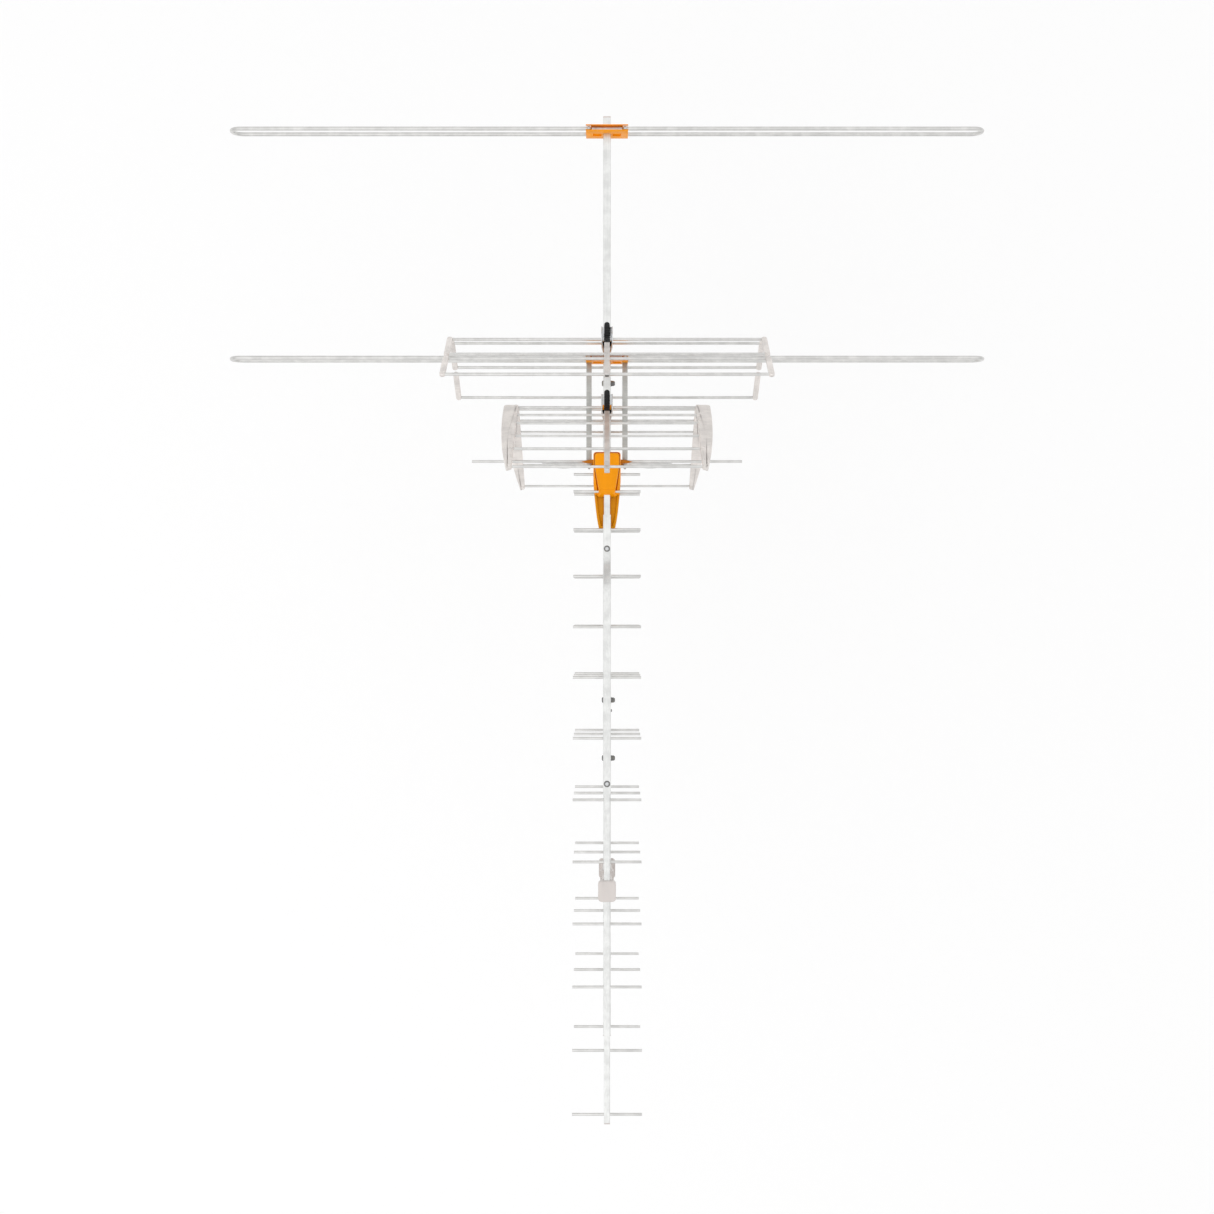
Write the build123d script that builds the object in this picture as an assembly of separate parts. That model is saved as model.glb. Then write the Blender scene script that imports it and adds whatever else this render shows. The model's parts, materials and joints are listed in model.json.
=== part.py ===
from build123d import *
import math
import os

os.makedirs("parts", exist_ok=True)

# ---------------------------------------------------------------- driving dimensions (mm)
# Everything is laid out from the middle boom: X across, -Y towards the receiving end,
# +Z up, zero at the boom's centre line. The finished pieces are moved so that the
# origin is the middle of the mast socket's bore.
BOOM = 15.0               # square boom tube
BOOM_WALL = 1.2
THIN_BOOM = 11.5          # square tube that slides into the 15 mm one
MAIN_REAR, MAIN_FRONT = 977.0, -854.0
REAR_JOINT, FRONT_JOINT = 458.0, -195.0

ROOT_Z = 40.0             # height of the outer booms where they leave the dipole box
ROOT_BACK, ROOT_FRONT = 250.0, 107.0
BEND_START = 182.0
BEND_LOW, BEND_HIGH = 92.0, 38.0
BEND_TOP_Z = 78.6
BEND_RADIUS = 45.0
SLOPE = 0.0995            # rise of the outer booms per mm towards the front
THIN_START, BEND_END = -322.0, -362.0
UPPER_FRONT, LOWER_FRONT = -976.0, -745.0

DIRECTOR_LENGTH = 132.6
DIRECTOR_R = 2.75
SHARED_STATIONS = [153.0, 60.6, -38.8, -136.7, -254.0, -372.0, -490.0, -607.0, -725.0]
UPPER_STATIONS = [228.0] + SHARED_STATIONS + [-843.0, -961.0]
LOWER_STATIONS = [228.0] + SHARED_STATIONS
MAIN_STATIONS = [265.0] + SHARED_STATIONS + [-839.0]

SPACER_Y = -544.0
SPACER_CAP = (34.0, 40.0, 19.0)

LOOP_REAR, LOOP_FRONT = 951.0, 495.6
LOOP_HALF_SPAN = 754.0
LOOP_Z = 20.0             # the two runs of a hairpin lie this far above and below the boom
LOOP_R, LOOP_BORE = 4.0, 3.1
LOOP_PIVOT_X = 36.0
LOOP_SCREW_R = 2.0
BRACKET = (84.0, 11.8, 60.0)
GROOVE = 8.8

FEEDER_X, FEEDER_WIDTH, FEEDER_THICK, FEEDER_Z = 36.0, 10.5, 4.0, -8.0
FEEDER_END = 285.0
TONGUE_WIDTH, TONGUE_END, FEEDER_SCREW = 4.8, 276.0, 279.5

PANEL_LEAN = 30.5         # degrees between a reflector panel and the vertical
WIDE_PIVOT = (531.4, 24.8)
NARROW_PIVOT = (397.2, 18.0)
WIDE_ROD_R, NARROW_ROD_R = 3.0, 2.5
WIDE_ROWS = [0.0, 77.7, 100.7, 178.0]
NARROW_ROWS = [0.0, 37.6, 76.3, 135.6, 192.8, 270.8]
WIDE_HALF, STRIP_WIDTH, STRIP_OVERHANG = 317.5, 11.0, 4.8
WING_INNER = 176.6
WING_OUTER = [(-6.0, 205.0), (60.0, 206.0), (140.0, 203.0), (215.0, 196.5), (284.0, 186.5)]
NARROW_TIP = 295.0
SPINE = (10.6, 9.0, 1.4)
KNUCKLE_R, ARM_LENGTH, TONGUE_LENGTH = 6.4, 34.0, 14.0
RUNNING_FIT = 0.05

BOX_BACK, BOX_NOSE = 307.0, 156.0
HULL_HALF, HULL_Z, HULL_WALL = 27.0, 32.0, 2.2
HULL_CORNER = 6.5
NOSE_SIDE = [(16.0, 156.0), (20.0, 176.0), (22.6, 197.0), (25.6, 227.0), (27.0, 250.0)]
COVER_TOP = 61.0
COVER_FOOT = [(25.2, 222.0), (27.0, 248.0), (27.0, 300.5), (20.5, 307.0)]
COVER_ROOF = [(15.0, 232.0), (23.0, 274.0), (23.0, 291.0), (18.0, 296.0)]
SEAL = 1.0
DIPOLE_Y, DIPOLE_HALF = 291.0, 270.0
COVER_SCREWS = [(13.0, 238.0), (17.0, 278.0)]
JACK_Y, JACK_R, JACK_COLLAR_R = 266.0, 4.75, 5.4
JACK_NUT, JACK_THREAD = 2.6, 11.0

MAST_R, SOCKET_WALL, SOCKET_LENGTH = 20.25, 3.75, 70.0
MAST_Y, SOCKET_TOP = 213.0, -73.0
SOCKET_MIDDLE = SOCKET_TOP - SOCKET_LENGTH / 2
THUMB_SCREW_R = 3.0
THUMB_SCREW_Z = (-93.0, -123.0)

CROSS_BOLTS = {"rear": 447.0, "middle": -186.0, "front": -302.0}
CROSS_BOLT_R = 3.0
BOOM_SCREWS = (115.0, -342.0)

to_mount = Pos(0, -MAST_Y, -SOCKET_MIDDLE)


# ---------------------------------------------------------------- helpers
def save(name, *solids):
    """Moves a node's solids so that the mast socket is the origin, and writes them."""
    bodies = [body for solid in solids for body in solid.solids()]
    placed = [to_mount * body for body in bodies]
    export_step(placed[0] if len(placed) == 1 else Compound(children=placed), f"parts/{name}.step")


def cylinder_x(radius, x0, x1, y, z):
    return Pos((x0 + x1) / 2, y, z) * Rot(0, 90, 0) * Cylinder(radius, x1 - x0)


def cylinder_y(radius, y0, y1, x, z):
    return Pos(x, (y0 + y1) / 2, z) * Rot(90, 0, 0) * Cylinder(radius, y1 - y0)


def cylinder_z(radius, z0, z1, x, y):
    return Pos(x, y, (z0 + z1) / 2) * Cylinder(radius, z1 - z0)


def block(x0, x1, y0, y1, z0, z1):
    """A box between two opposite corners, given in any order."""
    size = (abs(x1 - x0), abs(y1 - y0), abs(z1 - z0))
    return Pos((x0 + x1) / 2, (y0 + y1) / 2, (z0 + z1) / 2) * Box(*size)


def side_plate(outline, x0, x1):
    """A plate whose outline is given as (y, z) points, from x0 to x1."""
    face = Plane.YZ.offset(x0) * make_face(Polyline(*outline, close=True))
    return extrude(face, x1 - x0)


def flipped(solid):
    """The same piece on the lower side of the boom."""
    return mirror(solid, about=Plane.XY)


def other_side(solid):
    return mirror(solid, about=Plane.YZ)


def outer_boom_z(y):
    """Height of the upper boom's centre line at station y."""
    if y >= BEND_LOW:
        return ROOT_Z
    if y >= BEND_HIGH:
        return ROOT_Z + (BEND_LOW - y) / (BEND_LOW - BEND_HIGH) * (BEND_TOP_Z - ROOT_Z)
    return BEND_TOP_Z + SLOPE * (BEND_HIGH - y)


def square_tube(size, wall, path):
    section = Plane(origin=path @ 0, x_dir=(1, 0, 0), z_dir=path % 0)
    outer = RectangleRounded(size, size, 1.4)
    inner = RectangleRounded(size - 2 * wall, size - 2 * wall, 0.5)
    return sweep(section * (outer - inner), path=path)


def straight_tube(size, wall, start, end):
    return square_tube(size, wall, Line((0, *start), (0, *end)))


def rod_holes(stations, height, radius=DIRECTOR_R):
    return [cylinder_x(radius, -12, 12, y, height(y)) for y in stations]


def drilled(solid, holes):
    for hole in holes:
        solid = solid - hole
    return solid


# ---------------------------------------------------------------- middle boom
def main_height(_):
    return 0.0


main_cuts = rod_holes(MAIN_STATIONS, main_height)
main_cuts += [cylinder_x(CROSS_BOLT_R, -12, 12, y, 0) for y in CROSS_BOLTS.values()]
bracket_bolt_ys = (199.0, 211.0)
main_cuts += [cylinder_x(CROSS_BOLT_R, -12, 12, y, 0) for y in bracket_bolt_ys]

main_sections = {
    "main_boom_rear": (MAIN_REAR, REAR_JOINT),
    "main_boom_centre": (REAR_JOINT, FRONT_JOINT),
    "main_boom_front": (FRONT_JOINT, MAIN_FRONT),
}
for name, (back, front) in main_sections.items():
    tube = straight_tube(BOOM, BOOM_WALL, (back, 0), (front, 0))
    near = [c for c in main_cuts if front - 5 < c.center().Y < back + 5]
    save(name, drilled(tube, near))

sleeve_size = BOOM - 2 * BOOM_WALL - 0.2
sleeves = []
for joint, reach in ((REAR_JOINT, 60.0), (FRONT_JOINT, 125.0)):
    sleeve = straight_tube(sleeve_size, 1.4, (joint + 45, 0), (joint - reach, 0))
    near = [c for c in main_cuts if joint - reach < c.center().Y < joint + 45]
    sleeves.append(drilled(sleeve, near))
save("splice_sleeves", *sleeves)

# ---------------------------------------------------------------- upper and lower booms
bend_end_z = outer_boom_z(BEND_END)
bend_path = FilletPolyline(
    (0, BEND_START, ROOT_Z), (0, BEND_LOW, ROOT_Z),
    (0, BEND_HIGH, BEND_TOP_Z), (0, BEND_END, bend_end_z), radius=BEND_RADIUS)
bend_cuts = rod_holes([y for y in SHARED_STATIONS if y > BEND_END], outer_boom_z)


def boom_screw_frame(y):
    """Where a top screw stands: on the boom's centre line, square to it."""
    lean = 0.0 if y > BEND_LOW else math.degrees(math.atan(SLOPE))
    return Pos(0, y, outer_boom_z(y)) * Rot(-lean, 0, 0)


screw_holes = [boom_screw_frame(y) * Pos(0, 0, BOOM / 2) * Cylinder(2.0, BOOM) for y in BOOM_SCREWS]
bend_tube = square_tube(BOOM, BOOM_WALL, bend_path)
bend_tube = drilled(bend_tube, bend_cuts + screw_holes)
save("upper_boom_bend", bend_tube)
save("lower_boom_bend", flipped(bend_tube))

root_cuts = rod_holes([228.0, 153.0], outer_boom_z) + [screw_holes[0]]
root_tube = straight_tube(12.0, BOOM_WALL, (ROOT_BACK, ROOT_Z), (ROOT_FRONT, ROOT_Z))
root_tube = drilled(root_tube, root_cuts)
save("boom_root_stubs", root_tube, flipped(root_tube))


def thin_boom(front, stations):
    tube = straight_tube(
        THIN_BOOM, 1.1, (THIN_START, outer_boom_z(THIN_START)), (front, outer_boom_z(front)))
    holes = rod_holes([y for y in stations if y < THIN_START], outer_boom_z)
    return drilled(tube, holes + [screw_holes[1]])


save("upper_boom_front", thin_boom(UPPER_FRONT, UPPER_STATIONS))
save("lower_boom_front", flipped(thin_boom(LOWER_FRONT, LOWER_STATIONS)))


def boom_screw(y):
    """A flanged screw standing on the outer face of an outer boom."""
    flange = Pos(0, 0, BOOM / 2 + 0.6) * Cylinder(6.25, 1.2)
    head = Pos(0, 0, BOOM / 2 + 2.6) * Cylinder(4.6, 2.8)
    shank = Pos(0, 0, BOOM / 2 - 5) * Cylinder(2.0, 12.4)
    return boom_screw_frame(y) * (flange + head + shank)


def cross_bolt(y):
    """A domed bolt through the middle boom, its head on the left and its thread on the right."""
    head = Pos(-BOOM / 2 - 1.5, y, 0) * Rot(0, 90, 0) * Cylinder(6.0, 3.0)
    head = fillet(head.edges().sort_by(Axis.X)[0], 2.0)
    shank = cylinder_x(CROSS_BOLT_R, -BOOM / 2 - 0.5, BOOM / 2 + 8.6, y, 0)
    washer = cylinder_x(6.5, BOOM / 2, BOOM / 2 + 1.0, y, 0)
    return head + shank + washer


top_screws = [boom_screw(y) for y in BOOM_SCREWS]
lock_screw = cylinder_x(3.2, BOOM / 2, BOOM / 2 + 2.4, -207.0, 0)
boom_bolts = top_screws + [flipped(s) for s in top_screws]
boom_bolts += [cross_bolt(y) for y in CROSS_BOLTS.values()] + [lock_screw]
save("boom_bolts", *boom_bolts)


def wing_nut():
    """A wing nut on its own axis: hub along +X from zero, one wing up and one down."""
    hub = cylinder_x(5.4, 0, 5.4, 0, 0) + cylinder_x(4.2, 5.4, 7.0, 0, 0)
    wing = side_plate([(3.5, -1.6), (12.0, -1.3), (13.2, 0), (12.0, 1.3), (3.5, 1.6)], 2.0, 7.6)
    nut = hub + wing.rotate(Axis.X, 90) + wing.rotate(Axis.X, -90)
    return nut - cylinder_x(CROSS_BOLT_R + RUNNING_FIT, -1, 9, 0, 0)


for place, y in CROSS_BOLTS.items():
    save(f"wing_nut_{place}", Pos(BOOM / 2 + 1.05, y, 0) * wing_nut())


def end_cap(size, wall, y, z, lean, outward):
    """A moulded plug that closes a boom's open end."""
    inner = size - 2 * wall - 0.4
    lid = Pos(0, outward * 1.2, 0) * Box(size, 2.4, size)
    lid = fillet(lid.edges().filter_by(Axis.Y), 1.4)
    plug = Pos(0, -outward * 5.0, 0) * Box(inner, 10.0, inner)
    plug = fillet(plug.edges().filter_by(Axis.Y), 0.6)
    return Pos(0, y, z) * Rot(-lean, 0, 0) * (lid + plug)


lean_deg = math.degrees(math.atan(SLOPE))
caps = [
    end_cap(BOOM, BOOM_WALL, MAIN_REAR, 0, 0, 1),
    end_cap(BOOM, BOOM_WALL, MAIN_FRONT, 0, 0, -1),
    end_cap(THIN_BOOM, 1.1, UPPER_FRONT, outer_boom_z(UPPER_FRONT), lean_deg, -1),
    flipped(end_cap(THIN_BOOM, 1.1, LOWER_FRONT, outer_boom_z(LOWER_FRONT), lean_deg, -1)),
]
save("boom_end_caps", *caps)

# ---------------------------------------------------------------- directors
half = DIRECTOR_LENGTH / 2
upper_rods = [cylinder_x(DIRECTOR_R, -half, half, y, outer_boom_z(y)) for y in UPPER_STATIONS]
lower_rods = [cylinder_x(DIRECTOR_R, -half, half, y, -outer_boom_z(y)) for y in LOWER_STATIONS]
save("directors_upper", *upper_rods)
save("directors_lower", *lower_rods)
save("directors_main", *[cylinder_x(DIRECTOR_R, -half, half, y, 0) for y in MAIN_STATIONS])

# ---------------------------------------------------------------- spacer between the booms
spacer_z = outer_boom_z(SPACER_Y)
boom_room = Pos(0, SPACER_Y, spacer_z) * Rot(-lean_deg, 0, 0) * Box(THIN_BOOM, 80, THIN_BOOM)
post_top = spacer_z - 4.0
post = block(-10, 10, SPACER_Y - 15, SPACER_Y + 15, -post_top, post_top)
post = fillet(post.edges().filter_by(Axis.Z), 4.0)
for z in (-post_top + 9, 0, post_top - 9):
    collar = Pos(0, SPACER_Y, z) * Box(27, 38, 18 if z else 34)
    post = post + fillet(collar.edges().filter_by(Axis.Z), 5.0)
for z in (-70.0, 70.0):
    for side in (-1, 1):
        post = post - block(side * 4.0, side * 10.5, SPACER_Y - 10, SPACER_Y + 10, z - 40, z + 40)
post = post - block(-BOOM / 2, BOOM / 2, SPACER_Y - 30, SPACER_Y + 30, -BOOM / 2, BOOM / 2)
post = post - boom_room - flipped(boom_room)
cap_x, cap_y, cap_z = SPACER_CAP
cap = Pos(0, SPACER_Y, post_top + cap_z / 2) * Box(cap_x, cap_y, cap_z)
cap = fillet(cap.edges().filter_by(Axis.Z), 7.0)
cap = fillet(cap.faces().sort_by(Axis.Z)[-1].edges(), 3.0) - boom_room
save("boom_spacer", post, cap, flipped(cap))


# ---------------------------------------------------------------- VHF loops and their brackets
def loop_bracket(y, opens):
    """A moulded bracket over the boom. Its swing windows open towards sign `opens` in Y."""
    width, depth, height = BRACKET
    body = Box(width, depth, height)
    body = fillet(body.edges().filter_by(Axis.Z), 1.0)
    floor = LOOP_Z - LOOP_R - 0.4
    roof = LOOP_Z + LOOP_R + 0.4
    window_start = LOOP_PIVOT_X - LOOP_R - 0.6
    for side in (-1, 1):
        body = body - block(-width, width, -GROOVE / 2, GROOVE / 2, side * floor, side * height)
        for hand in (-1, 1):
            body = body - block(hand * window_start, hand * width, opens * (GROOVE / 2 - 0.1),
                                opens * depth, side * floor, side * roof)
    for hand in (-1, 1):
        body = body - block(hand * 11, hand * 28, -depth, -depth / 2 + 3, -13, 6)
        body = body - cylinder_z(LOOP_SCREW_R, -40, 40, hand * LOOP_PIVOT_X, 0)
    body = body - Box(BOOM, 40, BOOM)
    return Pos(0, y, 0) * body


def feeder_bar():
    """One flat bar from the front bracket to the dipole box, where a narrow tongue is screwed down."""
    low, high = FEEDER_Z - FEEDER_THICK / 2, FEEDER_Z + FEEDER_THICK / 2
    bar = block(FEEDER_X - FEEDER_WIDTH / 2, FEEDER_X + FEEDER_WIDTH / 2,
                FEEDER_END, LOOP_FRONT - BRACKET[1] / 2, low, high)
    tongue = block(FEEDER_X - TONGUE_WIDTH / 2, FEEDER_X + TONGUE_WIDTH / 2,
                   TONGUE_END, FEEDER_END + 1, low, high)
    return bar + tongue - cylinder_z(1.5, low - 1, high + 1, FEEDER_X, FEEDER_SCREW)


rear_bracket = loop_bracket(LOOP_REAR, 1)
front_bracket = loop_bracket(LOOP_FRONT, -1)
save("vhf_bracket_rear", rear_bracket)
save("vhf_bracket_front", front_bracket)

strip = block(-30.5, 30.5, -3.9, 3.9, LOOP_Z - 4.0, LOOP_Z + 1.0)
bridge_strips = [Pos(0, y, 0) * s for y in (LOOP_REAR, LOOP_FRONT) for s in (strip, flipped(strip))]
save("vhf_bridge_strips", *bridge_strips)


def loop_screw(x, y):
    """The pivot screw of one loop half: it runs through both tubes and the bracket."""
    reach = LOOP_Z + LOOP_R + 0.35
    shank = cylinder_z(LOOP_SCREW_R, -reach, reach, x, y)
    head = cylinder_z(3.8, reach, reach + 2.4, x, y)
    nut = cylinder_z(3.8, -reach - 2.4, -reach, x, y)
    return shank + head + nut


def feeder_screw(x):
    top = FEEDER_Z + FEEDER_THICK / 2
    return (cylinder_z(1.5, FEEDER_Z - 6, top, x, FEEDER_SCREW)
            + cylinder_z(2.3, top, top + 1.6, x, FEEDER_SCREW))


vhf_screws = [loop_screw(s * LOOP_PIVOT_X, y) for s in (-1, 1) for y in (LOOP_REAR, LOOP_FRONT)]
vhf_screws += [feeder_screw(s * FEEDER_X) for s in (-1, 1)]
save("vhf_screws", *vhf_screws)
save("feeder_bars", feeder_bar(), other_side(feeder_bar()))


def hairpin(radius, start, y):
    """Two runs, one above the other, joined by a half-round bend at the far end."""
    bend_x = LOOP_HALF_SPAN - LOOP_R - LOOP_Z
    section = Plane(origin=(bend_x, y, LOOP_Z), x_dir=(0, 1, 0), z_dir=(1, 0, 0)) * Circle(radius)
    bend = revolve(section, Axis((bend_x, y, 0), (0, 1, 0)), revolution_arc=180)
    return bend + [cylinder_x(radius, start, bend_x, y, z) for z in (-LOOP_Z, LOOP_Z)]


def loop_half(y):
    """The right half of a loop: a hairpin whose plugged ends turn on the pivot screw."""
    tube = hairpin(LOOP_R, LOOP_PIVOT_X, y) - hairpin(LOOP_BORE, LOOP_PIVOT_X + 9, y)
    tube = tube + [Pos(LOOP_PIVOT_X, y, z) * Sphere(LOOP_R) for z in (-LOOP_Z, LOOP_Z)]
    return tube - cylinder_z(LOOP_SCREW_R + RUNNING_FIT, -40, 40, LOOP_PIVOT_X, y)


for place, y in (("rear", LOOP_REAR), ("front", LOOP_FRONT)):
    right_half = loop_half(y)
    save(f"vhf_loop_{place}_right", right_half)
    save(f"vhf_loop_{place}_left", other_side(right_half))


# ---------------------------------------------------------------- reflector hinges
def hinge_bracket(pivot, rod_r):
    """A pressed channel on the boom: two ears carry the panel's first rod as a pin."""
    y, z = pivot
    base = BOOM / 2
    outline = [(-11.5, 27), (11.5, 27), (11.5, -9), (6.5, -26), (-6.5, -26), (-11.5, -9)]
    outer = extrude(Plane.XY.offset(base) * make_face(Polyline(*outline, close=True)), 40)
    wall = 2.2
    inner_outline = [(-11.5 + wall, 40), (11.5 - wall, 40), (11.5 - wall, -8),
                     (6.5 - wall, -30), (-6.5 + wall, -30), (-11.5 + wall, -8)]
    inner = extrude(Plane.XY.offset(base + 2) * make_face(Polyline(*inner_outline, close=True)), 60)
    rise = z + 7.5
    profile = [(-30, base), (40, base), (27, base + 9), (9, rise), (-7, rise), (-26, base + 4.5)]
    ears = side_plate(profile, -20, 20)
    channel = Pos(0, y, 0) * ((outer - inner) & ears)
    return channel - cylinder_x(rod_r + RUNNING_FIT, -20, 20, y, z)


def hinge_saddle(pivot):
    """The moulded seat inside the channel: a ribbed tail behind the pin, two feet before it."""
    y, z = pivot
    base = BOOM / 2 + 2.0
    top = min(z - KNUCKLE_R - 0.8, base + 6.0)
    tail = block(-5.5, 5.5, 9, 30.5, base, top) + cylinder_z(5.5, base, top, 0, 30.5)
    for k in range(3):
        tail = tail - block(-8, 8, 13 + 5 * k, 14.6 + 5 * k, top - 1.2, top + 1)
    floor = block(-5.5, 5.5, -9, 9, base, base + 1.6)
    foot = extrude(Plane.XY.offset(base) * make_face(Polyline(
        (5.9, -1), (8.9, -1), (8.9, -8), (5.2, -15), (3.4, -15), close=True)), top - base)
    feet = foot + other_side(foot)
    feet = feet - block(-3.6, 3.6, -20, 2, base + 1.6, top + 1)
    return Pos(0, y, 0) * (tail + floor + block(-8.9, 8.9, -8, -6, base, base + 1.6) + feet)


def hinge_bushes(pivot, rod_r):
    y, z = pivot
    ring = cylinder_x(4.9, 5.9, 8.9, y, z) - cylinder_x(rod_r + RUNNING_FIT, 0, 20, y, z)
    return [ring, other_side(ring)]


hinges = [(WIDE_PIVOT, WIDE_ROD_R), (NARROW_PIVOT, NARROW_ROD_R)]
brackets = [hinge_bracket(pivot, rod_r) for pivot, rod_r in hinges]
saddles = [hinge_saddle(pivot) for pivot, _ in hinges]
bushes = [ring for pivot, rod_r in hinges for ring in hinge_bushes(pivot, rod_r)]
save("hinge_brackets", *brackets, *[flipped(b) for b in brackets])
save("hinge_saddles", *saddles, *[flipped(s) for s in saddles])
save("hinge_bushes", *bushes, *[flipped(b) for b in bushes])


# ---------------------------------------------------------------- reflector panels
# A panel is drawn lying flat: X across, Y from the pivot to its tip, Z out of its face.
def stand(solid, pivot):
    """Stands a flat panel piece on its hinge, leaning towards the front."""
    return Pos(0, *pivot) * Rot(90 + PANEL_LEAN, 0, 0) * solid


def flat_rods(rows, radius, reach):
    return [cylinder_x(radius, -reach(s), reach(s), s, 0) for s in rows]


def knuckle(rods):
    barrel = cylinder_x(KNUCKLE_R, -5.5, 5.5, 0, 0)
    arm = block(-SPINE[0] / 2, SPINE[0] / 2, 0, ARM_LENGTH, -SPINE[1] / 2, SPINE[1] / 2)
    grip = SPINE[2] + 0.1
    tongue = block(-SPINE[0] / 2 + grip, SPINE[0] / 2 - grip, ARM_LENGTH, ARM_LENGTH + TONGUE_LENGTH,
                   -SPINE[1] / 2 + grip, SPINE[1] / 2 - grip)
    return drilled(barrel + arm + tongue, rods)


def spine(tip, rods):
    width, depth, wall = SPINE
    outer = block(-width / 2, width / 2, ARM_LENGTH, tip, -depth / 2, depth / 2)
    inner = block(-width / 2 + wall, width / 2 - wall, 0, tip - wall, -depth / 2 + wall, depth / 2 - wall)
    return drilled(outer - inner, rods)


def end_strip(first, last, rods):
    """One moulded strip that holds two rods' ends."""
    x = WIDE_HALF - STRIP_WIDTH / 2
    bar = Pos(x, (first + last) / 2, 0) * Box(STRIP_WIDTH, last - first + 2 * STRIP_OVERHANG, 8)
    bar = fillet(bar.edges().filter_by(Axis.Z), 4.0)
    return drilled(bar, rods)


def wing_plate(rods):
    """The curved side plate of a narrow panel, which holds all its rods' ends."""
    first, last = WING_OUTER[0], WING_OUTER[-1]
    edge = Spline(*[(x, s) for s, x in WING_OUTER])
    outline = edge + Polyline((last[1], last[0]), (WING_INNER, last[0] - 6), (WING_INNER, first[0]),
                              (first[1], first[0]))
    plate = extrude(Plane.XY.offset(-4) * make_face(outline), 8)
    return drilled(plate, rods)


def wide_reach(_):
    return WIDE_HALF - 2.0


def wing_outer_x(s):
    """Half-length of a narrow panel's rod: just inside the plate's curved edge."""
    for (s0, x0), (s1, x1) in zip(WING_OUTER, WING_OUTER[1:]):
        if s0 <= s <= s1:
            return x0 + (x1 - x0) * (s - s0) / (s1 - s0) - 4.0
    return WING_OUTER[-1][1] - 4.0


def wide_panel():
    rods = flat_rods(WIDE_ROWS, WIDE_ROD_R, wide_reach)
    strips = [end_strip(WIDE_ROWS[i], WIDE_ROWS[i + 1], rods) for i in (0, 2)]
    strips += [other_side(s) for s in strips]
    frame = [spine(WIDE_ROWS[-1] + 6.0, rods)] + strips
    return knuckle(rods), frame, rods


def narrow_panel():
    rods = flat_rods(NARROW_ROWS, NARROW_ROD_R, wing_outer_x)
    plate = wing_plate(rods)
    frame = [spine(NARROW_TIP, rods), plate, other_side(plate)]
    return knuckle(rods), frame, rods


for size, pivot, (hub, frame, rods) in (
        ("wide", WIDE_PIVOT, wide_panel()), ("narrow", NARROW_PIVOT, narrow_panel())):
    pieces = {"knuckle": [hub], "frame": frame, "rods": rods}
    for piece, solids in pieces.items():
        standing = [stand(s, pivot) for s in solids]
        save(f"{size}_upper_{piece}", *standing)
        save(f"{size}_lower_{piece}", *[flipped(s) for s in standing])


# ---------------------------------------------------------------- dipole box
def hull_outline(inset):
    """The box's plan: rounded at the back, its sides curving in to a nose at the front."""
    side, back = HULL_HALF - inset, BOX_BACK - inset
    flank = [(x - inset, y) for x, y in NOSE_SIDE]
    flank[0] = (flank[0][0], BOX_NOSE + inset)
    right = Spline(*flank) + Line(flank[-1], (side, back - HULL_CORNER))
    right += JernArc((side, back - HULL_CORNER), (0, 1), HULL_CORNER, 90)
    outline = right + Line((side - HULL_CORNER, back), (-side + HULL_CORNER, back))
    outline += mirror(right, about=Plane.YZ)
    outline += Line((-flank[0][0], flank[0][1]), flank[0])
    return make_face(outline)


hull = extrude(Plane.XY.offset(-HULL_Z) * hull_outline(0), 2 * HULL_Z)
hull = fillet(hull.faces().sort_by(Axis.Z)[-1].edges(), 2.0)
hull = fillet(hull.faces().sort_by(Axis.Z)[0].edges(), 2.0)
hull = hull - extrude(Plane.XY.offset(-HULL_Z + HULL_WALL) * hull_outline(HULL_WALL),
                      2 * (HULL_Z - HULL_WALL))
hull = hull - block(-BOOM / 2, BOOM / 2, BOX_NOSE - 5, BOX_BACK + 5, -BOOM / 2, BOOM / 2)
hull = hull - cylinder_x(2.75, -40, 40, DIPOLE_Y, 0) - cylinder_x(DIRECTOR_R, -40, 40, 265, 0)
hull = hull - block(-10.3, 10.3, 189, 221, -HULL_Z - 1, -HULL_Z + 4)
for x, y in COVER_SCREWS:
    hull = hull - cylinder_z(1.6, -40, 40, x, y) - cylinder_z(1.6, -40, 40, -x, y)
for side in (-1, 1):
    ear_top = FEEDER_Z - FEEDER_THICK / 2
    ear = block(side * (HULL_HALF - 1.0), side * (FEEDER_X + 3), TONGUE_END, DIPOLE_Y + 3,
                ear_top - 4, ear_top)
    hull = hull + (ear - cylinder_z(1.5, -30, 0, side * FEEDER_X, FEEDER_SCREW))
save("dipole_hull", hull)


def cover_outline(right_side, inset):
    """A cover's plan, from the points of its right side, drawn in by inset."""
    middle = (right_side[0][1] + right_side[-1][1]) / 2
    points = [(x - inset, y + (inset if y < middle else -inset)) for x, y in right_side]
    mirrored = [(-x, y) for x, y in reversed(points)]
    return make_face(Polyline(*points, *mirrored, close=True))


def cover_block(inset, base, top):
    """A tapered cap: its foot follows the hull, its roof is smaller and narrower in front."""
    foot = Plane.XY.offset(base) * cover_outline(COVER_FOOT, inset)
    roof = Plane.XY.offset(top) * cover_outline(COVER_ROOF, inset)
    return loft([foot.face(), roof.face()])


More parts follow.
